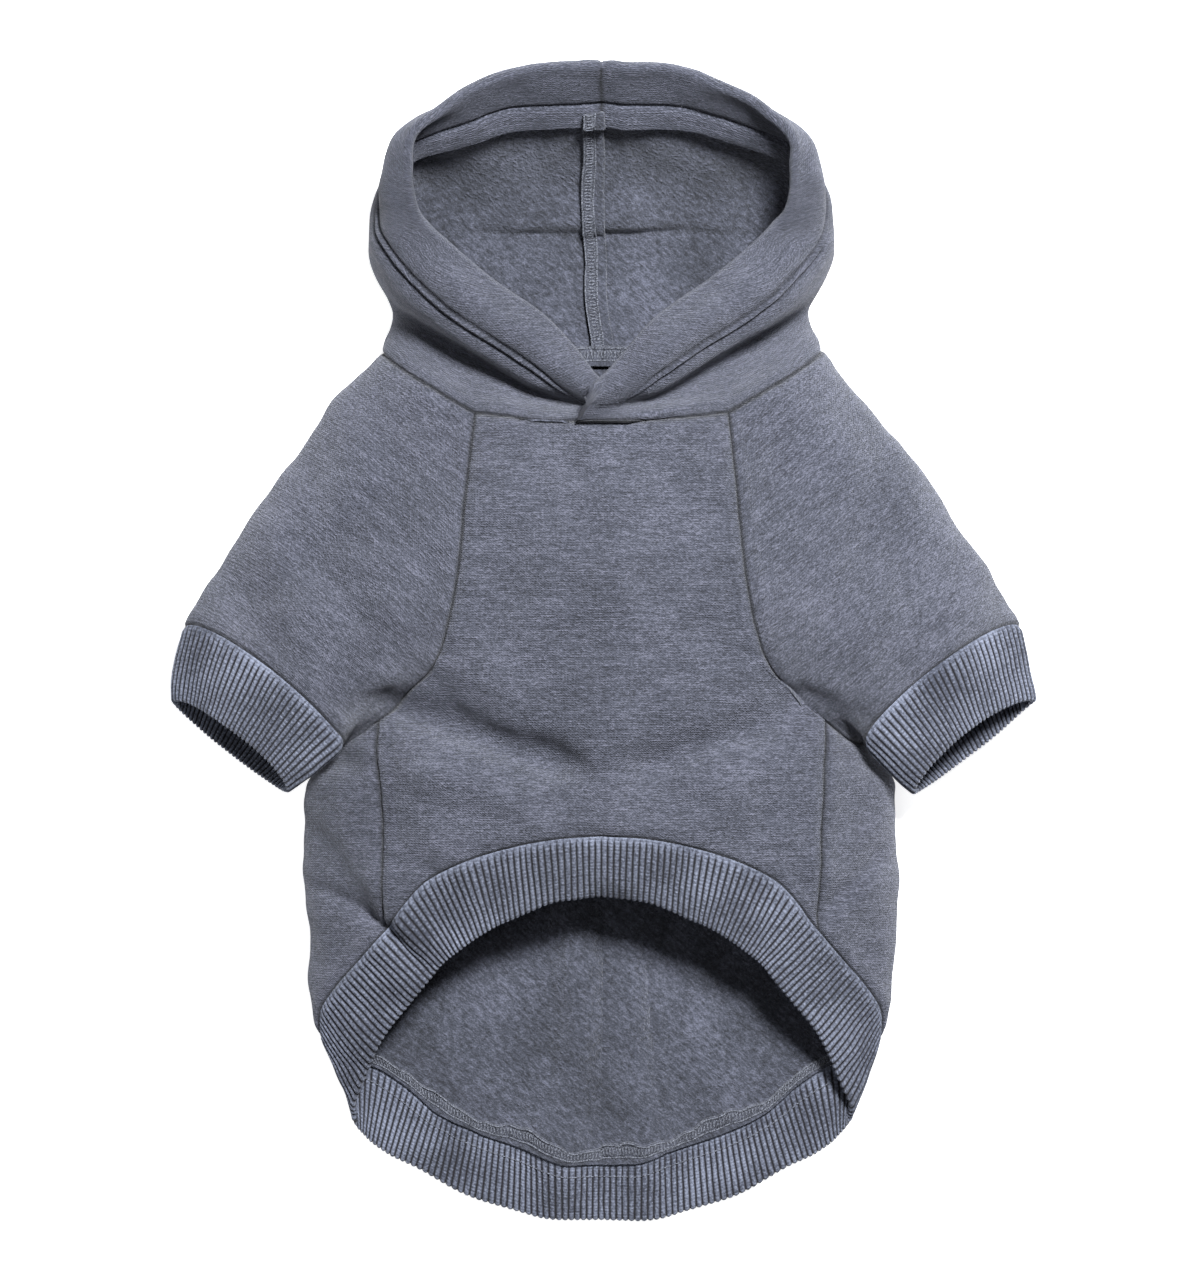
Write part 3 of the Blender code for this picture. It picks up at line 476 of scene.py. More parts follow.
@dataclass
class HoodForm:
    """The hood half between its neck seam, its four lines and its rim."""

    tuck_forward: float = 0.455
    tuck_length: float = 0.300
    tuck_drop: float = 0.018
    tuck_half_width: float = 0.86
    tuck_height: float = 0.085

    def tuck(self, x: np.ndarray, y: np.ndarray) -> np.ndarray:
        """Height of the ledge across the hood's floor."""
        forward = (y - P.neck_y) / P.hood_length
        rise = smooth_step((forward - self.tuck_forward) / self.tuck_drop)
        fall = smooth_step((forward - self.tuck_forward - self.tuck_drop) / self.tuck_length)
        across = smooth_step(np.abs(x) / (self.tuck_half_width * P.hood_half_width))
        return self.tuck_height * P.hood_rise * rise * (1 - fall) * (1 - across)

    def columns(self, ring: np.ndarray, stations: np.ndarray, fine: int = 240) -> np.ndarray:
        """Finely sampled lines from the neck seam to the rim.

        Args:
            ring: Points of the neck seam.
            stations: Their stations along the hood's lines.
            fine: Steps on each line.

        Returns:
            A grid of points, stations by steps.
        """
        lines = [ring]
        for rows in (HOOD_VALLEY, HOOD_BULGE, HOOD_CREST, HOOD_RIM):
            found = Table(rows).along(stations)
            lines.append(np.stack([-found[:, 0] * P.hood_half_width,
                                   P.neck_y + found[:, 1] * P.hood_length,
                                   np.maximum(found[:, 2] * P.hood_rise, P.half_wall)], axis=-1))
        lines = np.array(lines)
        places = np.linspace(0.0, 4.0, fine + 1)
        grid = Table(lines.reshape(5, -1)).along(places).reshape(fine + 1, len(ring), 3)
        grid = grid.transpose(1, 0, 2)
        flat = smooth_step(stations - HOOD_STATIONS[1] + 1)[:, None]
        grid[..., 2] = np.maximum(grid[..., 2], P.half_wall)
        grid[..., 2] += flat * self.tuck(grid[..., 0], grid[..., 1])
        return grid


def resample_rows(grid: np.ndarray, shares: np.ndarray) -> np.ndarray:
    """Rows of a grid moved to given shares of each column's own length.

    Args:
        grid: Columns by rows of points.
        shares: One list of shares for each column.

    Returns:
        The new grid.
    """
    runs = np.linalg.norm(np.diff(grid, axis=1), axis=2)
    way = np.concatenate([np.zeros((len(grid), 1)), np.cumsum(runs, axis=1)], axis=1)
    way /= way[:, -1:]
    found = np.zeros((len(grid), shares.shape[1], 3))
    for column in range(len(grid)):
        for axis in range(3):
            found[column, :, axis] = np.interp(shares[column], way[column], grid[column, :, axis])
    return found


@dataclass
class Drape:
    """Soft unevenness of cloth that lies freely, and the creases the garment keeps."""

    swells: tuple = (
        (38.0, 0.30, 0.55), (61.0, 1.25, 0.60), (27.0, 2.20, 0.28), (19.0, 0.85, 0.20),
        (45.0, 2.75, 0.40), (15.0, 1.80, 0.13), (11.0, 0.15, 0.08),
    )
    creases: tuple = (
        ((8, 60), (3, -66), 9.0, 1.5), ((30, 40), (26, -40), 16.0, -1.2),
        ((-30, 52), (-34, -28), 18.0, -1.1), ((-82, -29), (-20, -50), 7.0, -5.5),
        ((-90, -48), (-34, -68), 8.0, 2.4), ((70, -35), (24, -51), 7.0, -3.4),
        ((-118, 32), (-78, -14), 10.0, -1.2), ((-102, 66), (-84, 8), 12.0, 1.0),
        ((-150, -8), (-104, -34), 9.0, 1.1), ((118, 32), (78, -14), 11.0, -0.9),
        ((104, 62), (86, 6), 12.0, 0.9), ((148, -6), (104, -36), 8.0, 1.0),
        ((-112, -88), (-94, -118), 6.0, -2.6), ((-118, -60), (-100, -96), 9.0, 1.5),
        ((-90, -120), (-116, -104), 3.6, -3.0), ((114, -92), (93, -112), 4.5, -2.4),
        ((-70, -88), (-10, -80), 9.0, 0.8), ((20, -72), (80, -90), 9.0, 0.7),
    )
    floor_creases: tuple = (
        ((-34, -176), (-28, -96), 6.0, -2.6), ((26, -178), (22, -100), 6.0, -2.4),
        ((-10, -170), (-6, -98), 8.0, 2.2), ((42, -166), (40, -100), 8.0, 2.0),
        ((-70, -150), (-58, -110), 7.0, 1.6), ((64, -150), (58, -108), 6.0, 1.6),
        ((10, 226), (12, 186), 2.6, 1.2), ((-30, 150), (-44, 184), 9.0, 1.0),
        ((34, 148), (50, 178), 9.0, 0.9), ((-22, 214), (-26, 188), 6.0, -0.8),
    )

    def height(self, points: np.ndarray, normals: np.ndarray) -> np.ndarray:
        """How far the cloth stands out along its normals.

        Args:
            points: Places on the middle surface.
            normals: Outward normals there.

        Returns:
            Millimetres at each place.
        """
        x, y, z = points[..., 0], points[..., 1], points[..., 2]
        total = np.zeros(x.shape)
        for number, (length, heading, height) in enumerate(self.swells):
            turn = 2 * math.pi / length
            run = (x * math.cos(heading) + y * math.sin(heading)) * turn
            other = (y * math.cos(heading) - x * math.sin(heading)) * turn * 0.61
            total += height * np.sin(run + 1.7 * number + 0.9 * np.sin(other + number) + z * turn * 0.5)
        up = np.clip(normals[..., 2] * 1.6, 0.0, 1.0)
        down = np.clip(-normals[..., 2] * 1.6, 0.0, 1.0)
        for start, end, reach, height in self.creases:
            total += up * height * fold_height(x, y, start, end, reach)
        for start, end, reach, height in self.floor_creases:
            total -= down * height * fold_height(x, y, start, end, reach)
        lying = down * np.clip(1 - (z - P.half_wall) / 3, 0.0, 1.0)
        return np.where(lying > 0, np.minimum(total * (1 - lying), 0.0) + np.minimum(total, 0.0) * lying, total)


@dataclass
class Cloth:
    """One piece of cloth as a grid of points on its middle surface, in millimetres."""

    name: str
    grid: np.ndarray
    heart: np.ndarray
    sewn: tuple
    wall: float = P.fleece_wall
    closed: bool = False
    turned: bool = False
    plan: np.ndarray | None = None
    groove: float = 1.10
    groove_width: float = 0.8
    puff: float = 0.45
    # Painted shade along the hood's stitch rows, from 0 to 1, that darkens the face's colour.
    painted_stitch_shade: np.ndarray | float = 0.0
    normals: np.ndarray = field(init=False)
    flipped: bool = field(init=False)

    def __post_init__(self) -> None:
        """Find which side is outside and start with a plain wall."""
        cells = self.cell_normals()
        a, b, c, d = self.corners(self.grid)
        middle = (a + b + c + d) / 4 - np.asarray(self.heart)
        self.flipped = float((cells * middle).sum()) < 0
        self.outer = np.full(self.grid.shape[:2], P.half_wall)
        self.inner = np.full(self.grid.shape[:2], self.wall - P.half_wall)
        self.facing_from = self.grid.shape[1]

    def corners(self, grid: np.ndarray) -> tuple:
        """The four corners of every cell."""
        here = grid if self.closed else grid[:-1]
        there = np.roll(grid, -1, axis=0) if self.closed else grid[1:]
        return here[:, :-1], there[:, :-1], there[:, 1:], here[:, 1:]

    def cell_normals(self) -> np.ndarray:
        """Area-weighted normal of each cell, in the grid's own turning sense."""
        a, b, c, d = self.corners(self.grid)
        return np.cross(c - a, d - b) / 2

    def point_normals(self) -> np.ndarray:
        """Outward area-weighted normals gathered at every point."""
        cells = self.cell_normals() * (-1.0 if self.flipped else 1.0)
        total = np.zeros(self.grid.shape)
        if self.closed:
            after = np.roll(cells, 1, axis=0)
            total[:, :-1] += cells + after
            total[:, 1:] += cells + after
        else:
            total[:-1, :-1] += cells
            total[1:, :-1] += cells
            total[1:, 1:] += cells
            total[:-1, 1:] += cells
        return total

    def edge_way(self) -> np.ndarray:
        """Distance of every point from the nearest sewn edge."""
        along = np.linalg.norm(np.diff(self.grid, axis=1), axis=2)
        along = np.concatenate([np.zeros((len(along), 1)), np.cumsum(along, axis=1)], axis=1)
        across = np.linalg.norm(np.diff(self.grid, axis=0), axis=2)
        across = np.concatenate([np.zeros((1, across.shape[1])), np.cumsum(across, axis=0)])
        ways = {Edge.LOW: along, Edge.HIGH: along[:, -1:] - along,
                Edge.START: across, Edge.END: across[-1:] - across}
        best = np.full(self.grid.shape[:2], 1e3)
        for edge in self.sewn:
            best = np.minimum(best, ways[edge])
        return best

    def roll_seams(self, drape: Drape) -> None:
        """Sink the cloth into its sewn edges and let it swell a little beside them."""
        way = self.edge_way()
        x, y = self.grid[..., 0], self.grid[..., 1]
        pucker = 0.5 + 0.5 * np.sin(x * 0.83 + 1.3 * np.sin(y * 0.31)) * np.sin(y * 0.71 + 0.8 * np.sin(x * 0.23))
        sink = self.groove * hump(way, self.groove_width) + 0.4 * hump(way, 3.4) * pucker
        self.outer = self.outer - sink + self.puff * hump(way - 5.0, 3.2)
        self.outer = np.maximum(self.outer, 0.12)

    def inset(self) -> np.ndarray:
        """Middle surface drawn back from each sewn edge by half the seam gap."""
        moved = self.grid.copy()
        lines = {Edge.START: (np.s_[0], np.s_[1]), Edge.END: (np.s_[-1], np.s_[-2]),
                 Edge.LOW: (np.s_[:, 0], np.s_[:, 1]), Edge.HIGH: (np.s_[:, -1], np.s_[:, -2])}
        for edge in self.sewn:
            at, inside = lines[edge]
            line, normal = self.grid[at], self.normals[at]
            if self.closed:
                tangent = np.roll(line, -1, axis=0) - np.roll(line, 1, axis=0)
            else:
                tangent = np.gradient(line, axis=0)
            tangent /= np.linalg.norm(tangent, axis=1, keepdims=True)
            inward = self.grid[inside] - line
            inward -= (inward * normal).sum(1, keepdims=True) * normal
            inward -= (inward * tangent).sum(1, keepdims=True) * tangent
            inward /= np.linalg.norm(inward, axis=1, keepdims=True) + 1e-9
            moved[at] += inward * SEWN_GAP / 2
        return moved

    def loops(self, arc: int = 5) -> dict:
        """Closed rings of points over the outer face, round the edge and back inside.

        Args:
            arc: Steps round a turned edge.

        Returns:
            Points, cloth plan, spread directions and the row count of each face.
        """
        middle = self.inset()
        outer = middle + self.normals * self.outer[..., None]
        inner = middle - self.normals * self.inner[..., None]
        outer[..., 2] = np.maximum(outer[..., 2], 0.02)
        inner[..., 2] = np.maximum(inner[..., 2], 0.02)
        plan = self.plan
        if self.closed and len(plan) == len(self.grid):
            plan = np.concatenate([plan, plan[:1]])
        parts, plans, spread = [outer], [plan], [self.normals]
        if self.turned:
            centre = (outer[:, -1] + inner[:, -1]) / 2
            arm = outer[:, -1] - centre
            radius = np.linalg.norm(arm, axis=1, keepdims=True)
            out = middle[:, -1] - middle[:, -2]
            out -= (out * arm).sum(1, keepdims=True) * arm / radius ** 2
            out /= np.linalg.norm(out, axis=1, keepdims=True)
            rim, rim_plan, rim_spread = [], [], []
            for step in range(1, arc):
                angle = math.pi * step / arc
                point = centre + math.cos(angle) * arm + math.sin(angle) * radius * out
                rim.append(point)
                rim_spread.append((point - centre) / radius)
                rim_plan.append(plan[:, -1] + np.array((0.0, float(radius.mean()) * angle)))
            parts.append(np.stack(rim, axis=1))
            plans.append(np.stack(rim_plan, axis=1))
            spread.append(np.stack(rim_spread, axis=1))
            turn = plan[:, -1:, 1:] + float(radius.mean()) * math.pi
            back = plan[:, ::-1].copy()
            back[..., 1:] = turn + (plan[:, -1:, 1:] - back[..., 1:])
            plans.append(back)
        else:
            plans.append(plan[:, ::-1])
        parts.append(inner[:, ::-1])
        spread.append(-self.normals[:, ::-1])
        points = np.concatenate(parts, axis=1)
        points[..., 2] = np.maximum(points[..., 2], 0.02)
        return {"points": points, "plan": np.concatenate(plans, axis=1),
                "spread": np.concatenate(spread, axis=1), "rows": self.grid.shape[1]}

    def build(self, materials: dict) -> bpy.types.Object:
        """Closed mesh of the piece, in metres.

        Args:
            materials: Material of each Spot.

        Returns:
            The new object, with its cloth plan as a UV map.
        """
        data = self.loops()
        points, plan, rows = data["points"], data["plan"], data["rows"]
        count, around = points.shape[:2]
        ring = around - 2 * rows
        i, k = np.meshgrid(np.arange(count if self.closed else count - 1), np.arange(around), indexing="ij")
        i, k = i.ravel(), k.ravel()
        quads = np.stack([np.stack([i, k], 1), np.stack([i + 1, k], 1),
                          np.stack([i + 1, k + 1], 1), np.stack([i, k + 1], 1)], axis=1)
        inner_row = rows - 1 - (k - rows - ring)
        spots = np.where((k >= rows + ring) & (k < around - 1) & (inner_row <= self.facing_from),
                         Spot.BACK.value, Spot.FACE.value)
        if not self.closed:
            j = np.arange(rows - 1)
            last = np.full_like(j, count - 1)
            start = np.stack([np.stack([0 * j, j], 1), np.stack([0 * j, j + 1], 1),
                              np.stack([0 * j, around - 2 - j], 1), np.stack([0 * j, around - 1 - j], 1)], axis=1)
            end = start[:, ::-1].copy()
            end[..., 0] = last[:, None]
            quads = np.concatenate([quads, start, end])
            spots = np.concatenate([spots, np.zeros(2 * len(j), dtype=int)])
        if self.flipped:
            quads = quads[:, ::-1]
        numbers = (quads[..., 0] % count) * around + quads[..., 1] % around
        faces = numbers.tolist()
        corners = list(quads.reshape(-1, 2))
        if not self.closed and ring:
            for column in (0, count - 1):
                cap = [(column, row) for row in range(rows - 1, rows + ring + 1)]
                if (column > 0) != self.flipped:
                    cap.reverse()
                faces.append([place[0] * around + place[1] for place in cap])
                corners += cap
                spots = np.append(spots, 0)
        mesh = bpy.data.meshes.new(self.name)
        mesh.from_pydata((points.reshape(-1, 3) * METRES).tolist(), [], faces)
        corners = np.array(corners)
        layer = mesh.uv_layers.new(name="cloth_plan")
        places = plan[corners[:, 0], corners[:, 1] % around] * METRES
        layer.data.foreach_set("uv", places.ravel())
        for spot in Spot:
            mesh.materials.append(materials[spot])
        mesh.polygons.foreach_set("material_index", spots.astype(np.int32))
        mesh.shade_smooth()
        mesh.set_sharp_from_angle(angle=math.radians(62))
        # Painted shade: sewn edges and stitch rows get a share by which the jersey's colour is darkened, standing in
        # for the shadow in their grooves.
        shade = np.zeros((count, around))
        near = hump(self.edge_way(), 1.1) if self.sewn else np.zeros((count, rows))
        shade[:, :rows] = np.maximum(near, self.painted_stitch_shade)
        shade[:, rows + ring:] = near[:, ::-1]
        mesh.attributes.new("seam_shade", "FLOAT", "POINT").data.foreach_set("value", shade.ravel())
        piece = bpy.data.objects.new(self.name, mesh)
        bpy.context.scene.collection.objects.link(piece)
        return piece

    def cut_size(self) -> tuple[tuple[float, float], float]:
        """Width, length and area of the flat cut, in metres and square metres."""
        a, b, c, d = self.corners(self.grid)
        area = float(np.linalg.norm(np.cross(c - a, d - b), axis=-1).sum()) / 2
        along = np.linalg.norm(np.diff(self.grid, axis=1), axis=2).sum(axis=1).max()
        line = np.concatenate([self.grid, self.grid[:1]]) if self.closed else self.grid
        across = np.linalg.norm(np.diff(line, axis=0), axis=2).sum(axis=0).max()
        return (float(across) * METRES, float(along) * METRES), area * METRES ** 2


def share_normals(pieces: list[Cloth]) -> None:
    """Give pieces that meet at a seam the same normals there."""
    points = np.concatenate([piece.grid.reshape(-1, 3) for piece in pieces])
    normals = np.concatenate([piece.point_normals().reshape(-1, 3) for piece in pieces])
    keys = np.round(points / 0.02).astype(np.int64)
    _, group = np.unique(keys, axis=0, return_inverse=True)
    group = group.ravel()
    total = np.zeros((group.max() + 1, 3))
    np.add.at(total, group, normals)
    shared = total[group]
    shared /= np.linalg.norm(shared, axis=1, keepdims=True) + 1e-12
    start = 0
    for piece in pieces:
        size = piece.grid.shape[0] * piece.grid.shape[1]
        piece.normals = shared[start:start + size].reshape(piece.grid.shape)
        start += size


def linear(code: str) -> tuple[float, float, float, float]:
    """Linear colour of an sRGB hex code."""
    parts = [int(code[k:k + 2], 16) / 255 for k in (1, 3, 5)]
    return (*[c / 12.92 if c <= 0.04045 else ((c + 0.055) / 1.055) ** 2.4 for c in parts], 1.0)


def add(tree: bpy.types.NodeTree, kind: str, settings: dict | None = None, **links: object) -> bpy.types.Node:
    """Add one node to a tree.

    Args:
        tree: The node tree.
        kind: The node's type.
        settings: Attributes, or input values under the input's name or number.
        links: Output sockets for inputs, as in_NAME or in_NUMBER, with _ for a space.

    Returns:
        The new node.
    """
    node = tree.nodes.new(kind)
    for key, value in (settings or {}).items():
        if isinstance(key, str) and hasattr(node, key):
            setattr(node, key, value)
        else:
            node.inputs[key].default_value = value
    for key, socket in links.items():
        key = key[3:].replace("_", " ")
        tree.links.new(socket, node.inputs[int(key) if key.isdigit() else key])
    return node


def ramp(tree: bpy.types.NodeTree, socket: bpy.types.NodeSocket, stops: tuple) -> bpy.types.NodeSocket:
    """Colour ramp with (position, hex code) stops on a socket."""
    node = add(tree, "ShaderNodeValToRGB", None, in_0=socket)
    elements = node.color_ramp.elements
    while len(elements) < len(stops):
        elements.new(0.5)
    for element, (position, code) in zip(elements, stops):
        element.position = position
        element.color = linear(code)
    return node.outputs["Color"]


def weighed(tree: bpy.types.NodeTree, terms: list) -> bpy.types.NodeSocket:
    """Weighted sum of (socket, weight) terms."""
    total = None
    for socket, weight in terms:
        settings = {"operation": "MULTIPLY" if total is None else "MULTIPLY_ADD", 1: weight}
        node = add(tree, "ShaderNodeMath", settings, in_0=socket)
        if total is not None:
            tree.links.new(total, node.inputs[2])
        total = node.outputs[0]
    return total


def grain(tree: bpy.types.NodeTree, vector: bpy.types.NodeSocket, size_mm: tuple, heading: float = 0.0,
          detail: float = 2.0) -> bpy.types.NodeSocket:
    """Noise with grains of a given size in millimetres.

    Args:
        tree: The node tree.
        vector: Coordinates in metres.
        size_mm: Size of one grain along, across and in depth.
        heading: Degrees that the grains are turned by.
        detail: Octaves of finer noise.

    Returns:
        The noise's value.
    """
    turned = add(tree, "ShaderNodeMapping", {"vector_type": "POINT", "Rotation": (0, 0, -math.radians(heading))},
                 in_Vector=vector)
    scaled = add(tree, "ShaderNodeMapping", {"vector_type": "POINT", "Scale": tuple(1 / (s * METRES) for s in size_mm)},
                 in_Vector=turned.outputs[0])
    noise = add(tree, "ShaderNodeTexNoise", {"Scale": 1.0, "Detail": detail, "Roughness": 0.62},
                in_Vector=scaled.outputs[0])
    return noise.outputs["Fac"]


def finish_shader(material: bpy.types.Material, colour: bpy.types.NodeSocket, height: bpy.types.NodeSocket,
                  depth_mm: float, roughness: float, sheen: float, strength: float = 1.0) -> None:
    """Set the cloth's shader and its bump."""
    tree = material.node_tree
    shader = tree.nodes["Principled BSDF"]
    shader.inputs["Roughness"].default_value = roughness
    shader.inputs["Metallic"].default_value = 0.0
    shader.inputs["Specular IOR Level"].default_value = 0.25
    shader.inputs["Sheen Weight"].default_value = sheen
    shader.inputs["Sheen Roughness"].default_value = 0.6
    shader.inputs["Sheen Tint"].default_value = linear("#c8ccd6")
    tree.links.new(colour, shader.inputs["Base Color"])
    bump = add(tree, "ShaderNodeBump", {"Strength": strength, "Distance": depth_mm * METRES}, in_Height=height)
    tree.links.new(bump.outputs[0], shader.inputs["Normal"])


def new_material(name: str) -> bpy.types.Material:
    """Empty node material of that name."""
    material = bpy.data.materials.new(name)
    material.use_nodes = True
    return material


@dataclass(frozen=True)
class JerseyFace:
    """Melange cotton and polyester jersey, the knit face of brushed fleece.

    Dark and light fibres spun together show as short streaks along the courses, over fine
    V-shaped loops. The loops are drawn 1.2 mm apart, coarser than real, so that they show.
    """

    name: str
    heading: float = 0.0
    follows_plan: bool = False
    dark: str = "#1e2028"
    middle: str = "#393c47"
    light: str = "#595b69"
    wale_mm: float = 1.2
    course_mm: float = 1.0

    def build(self) -> bpy.types.Material:
        """Make the material."""
        material = new_material(self.name)
        tree = material.node_tree
        plan = add(tree, "ShaderNodeUVMap", {"uv_map": "cloth_plan"}).outputs[0]
        place = add(tree, "ShaderNodeTexCoord").outputs["Object"]
        base = plan if self.follows_plan else place
        streaks = grain(tree, base, (3.6, 0.6, 1.2), self.heading, 3.0)
        runs = grain(tree, base, (15.0, 1.9, 5.0), self.heading, 2.0)
        flecks = grain(tree, base, (1.1, 0.6, 0.8), self.heading, 1.0)
        clouds = grain(tree, place, (42.0, 42.0, 42.0), 0.0, 1.0)
        melange = weighed(tree, [(streaks, 0.40), (runs, 0.20), (flecks, 0.40), (clouds, 0.10)])
        fibres = ramp(tree, melange, ((0.42, self.dark), (0.545, self.middle), (0.67, self.light)))
        # Painted shade: the colour is darkened by up to 85 percent along seams and stitch rows, where their grooves lie
        # in shadow.
        near = add(tree, "ShaderNodeAttribute", {"attribute_name": "seam_shade"}).outputs["Fac"]
        kept = add(tree, "ShaderNodeMath", {"operation": "MULTIPLY_ADD", 1: -0.85, 2: 1.0}, in_0=near)
        colour = add(tree, "ShaderNodeVectorMath", {"operation": "SCALE"}, in_0=fibres,
                     in_Scale=kept.outputs[0]).outputs[0]
        axes = add(tree, "ShaderNodeSeparateXYZ", None, in_0=plan)
        wale = add(tree, "ShaderNodeMath", {"operation": "MULTIPLY", 1: 1 / (self.wale_mm * METRES)},
                   in_0=axes.outputs[0])
        slant = add(tree, "ShaderNodeMath", {"operation": "PINGPONG", 1: 0.5}, in_0=wale.outputs[0])
        course = add(tree, "ShaderNodeMath", {"operation": "MULTIPLY_ADD", 1: 1 / (self.course_mm * METRES)},
                     in_0=axes.outputs[1], in_2=slant.outputs[0])
        turn = add(tree, "ShaderNodeMath", {"operation": "MULTIPLY", 1: 2 * math.pi}, in_0=course.outputs[0])
        loops = add(tree, "ShaderNodeMath", {"operation": "SINE"}, in_0=turn.outputs[0])
        height = weighed(tree, [(loops.outputs[0], 0.16), (streaks, 0.7), (flecks, 0.9), (runs, 0.4)])
        finish_shader(material, colour, height, 0.75, 0.92, 0.22)
        return material


@dataclass(frozen=True)
class FleeceBack:
    """Brushed fleece, the raised back of the same cloth.

    Brushing lays short fibres in one slanting direction, so that the pile shows as soft
    strokes and small tufts with no loops.
    """

    name: str = "brushed fleece back"
    dark: str = "#1c1e25"
    middle: str = "#343741"
    light: str = "#525563"
    heading: float = -42.0

    def build(self) -> bpy.types.Material:
        """Make the material."""
        material = new_material(self.name)
        tree = material.node_tree
        place = add(tree, "ShaderNodeTexCoord").outputs["Object"]
        strokes = grain(tree, place, (4.2, 1.2, 2.0), self.heading, 3.0)
        tufts = grain(tree, place, (2.4, 2.0, 2.0), 15.0, 2.0)
        pile = grain(tree, place, (0.8, 0.7, 0.8), 0.0, 1.0)
        clouds = grain(tree, place, (30.0, 44.0, 30.0), 10.0, 1.0)
        tone = weighed(tree, [(strokes, 0.36), (tufts, 0.24), (pile, 0.26), (clouds, 0.20)])
        colour = ramp(tree, tone, ((0.42, self.dark), (0.53, self.middle), (0.66, self.light)))
        height = weighed(tree, [(strokes, 0.9), (tufts, 0.8), (pile, 0.6)])
        finish_shader(material, colour, height, 1.1, 0.96, 0.30)
        return material


@dataclass(frozen=True)
class RibKnit:
    """Cotton rib knit with dark furrows between bluish crowns.

    Each crown is a column of loops, 1.5 mm apart here. Less light reaches the furrows, so they are painted near black
    as shade, and painted shade also darkens each loop where it dips.
    """

    name: str = "slate rib knit"
    painted_furrow_shade: str = "#0c0b11"
    crown_dark: str = "#363a46"
    crown_light: str = "#6f7586"
    loop_mm: float = 1.5

    def build(self) -> bpy.types.Material:
        """Make the material."""
        material = new_material(self.name)
        tree = material.node_tree
        plan = add(tree, "ShaderNodeUVMap", {"uv_map": "cloth_plan"}).outputs[0]
        place = add(tree, "ShaderNodeTexCoord").outputs["Object"]
        relief = add(tree, "ShaderNodeAttribute", {"attribute_name": "rib_height"}).outputs["Fac"]
        flecks = grain(tree, place, (1.1, 1.1, 1.1), 0.0, 2.0)
        clouds = grain(tree, place, (26.0, 26.0, 26.0), 0.0, 1.0)
        tone = weighed(tree, [(flecks, 0.62), (clouds, 0.38)])
        crown = ramp(tree, tone, ((0.38, self.crown_dark), (0.64, self.crown_light)))
        axes = add(tree, "ShaderNodeSeparateXYZ", None, in_0=plan)
        turn = add(tree, "ShaderNodeMath", {"operation": "MULTIPLY", 1: 2 * math.pi / (self.loop_mm * METRES)},
                   in_0=axes.outputs[1])
        loops = add(tree, "ShaderNodeMath", {"operation": "SINE"}, in_0=turn.outputs[0])
        # Painted shade: each loop row is darkened where it dips.
        lit = add(tree, "ShaderNodeMapRange", {"From Min": -1.0, "From Max": -0.3, "To Min": 0.72, "To Max": 1.0},
                  in_Value=loops.outputs[0])
        shaded = add(tree, "ShaderNodeVectorMath", {"operation": "SCALE"}, in_0=crown, in_Scale=lit.outputs[0])
        # Painted shade: the colour is blended towards near black with the furrows' depth.
        reach = add(tree, "ShaderNodeMapRange", {"From Min": 0.32, "From Max": 0.86}, in_Value=relief)
        mixed = add(tree, "ShaderNodeMix", {"data_type": "RGBA"}, in_0=reach.outputs[0])
        mixed.inputs[6].default_value = linear(self.painted_furrow_shade)
        tree.links.new(shaded.outputs[0], mixed.inputs[7])
        height = weighed(tree, [(loops.outputs[0], 0.10), (flecks, 0.8)])
        finish_shader(material, mixed.outputs[2], height, 0.6, 0.86, 0.15)
        return material


@dataclass(frozen=True)
class Thread:
    """Spun polyester sewing thread, matt, with a fine twist that breaks up its highlight."""

    name: str
    dark: str
    light: str

    def build(self) -> bpy.types.Material:
        """Make the material."""
        material = new_material(self.name)
        tree = material.node_tree
        place = add(tree, "ShaderNodeTexCoord").outputs["Object"]
        twist = grain(tree, place, (0.9, 0.35, 0.5), 35.0, 1.0)
        colour = ramp(tree, twist, ((0.35, self.dark), (0.65, self.light)))
        finish_shader(material, colour, twist, 0.15, 0.75, 0.1)
        return material


@dataclass(frozen=True)
class GlowingBoard:
    """Matt white board under the garment, made to glow: painted light that washes out the shadows cast on it."""

    name: str = "matt white board"

    def build(self) -> bpy.types.Material:
        """Make the material."""
        material = new_material(self.name)
        tree = material.node_tree
        place = add(tree, "ShaderNodeTexCoord").outputs["Object"]
        speck = grain(tree, place, (6.0, 6.0, 6.0))
        colour = ramp(tree, speck, ((0.3, "#f6f6f7"), (0.7, "#f9f9fa")))
        finish_shader(material, colour, speck, 0.02, 0.95, 0.0)
        shader = tree.nodes["Principled BSDF"]
        # Painted light: the board glows though it is no lamp, so that no shadow shows on it.
        shader.inputs["Emission Color"].default_value = (1.0, 1.0, 1.0, 1.0)
        shader.inputs["Emission Strength"].default_value = 0.80
        return material


@dataclass(frozen=True)
class NodeInput:
    """A named input of a Geometry Nodes tree."""

    name: str
    kind: str
    value: object


def start_tree(name: str, inputs: list[NodeInput]) -> tuple[bpy.types.NodeTree, bpy.types.Node]:
    """New Geometry Nodes tree with named inputs.

    Args:
        name: The tree's name.
        inputs: Its inputs after the geometry.

    Returns:
        The tree and its input node.
    """
    tree = bpy.data.node_groups.new(name, "GeometryNodeTree")
    tree.interface.new_socket("Geometry", in_out="INPUT", socket_type="NodeSocketGeometry")
    for item in inputs:
        socket = tree.interface.new_socket(item.name, in_out="INPUT", socket_type=item.kind)
        if item.value is not None:
            socket.default_value = item.value
    tree.interface.new_socket("Geometry", in_out="OUTPUT", socket_type="NodeSocketGeometry")
    return tree, tree.nodes.new("NodeGroupInput")


def end_tree(tree: bpy.types.NodeTree, geometry: bpy.types.NodeSocket, material: bpy.types.NodeSocket) -> None:
    """Close a tree with Realize Instances and Set Material."""
    whole = add(tree, "GeometryNodeRealizeInstances", None, in_0=geometry)
    dressed = add(tree, "GeometryNodeSetMaterial", None, in_Geometry=whole.outputs[0], in_Material=material)
    add(tree, "NodeGroupOutput", None, in_0=dressed.outputs[0])


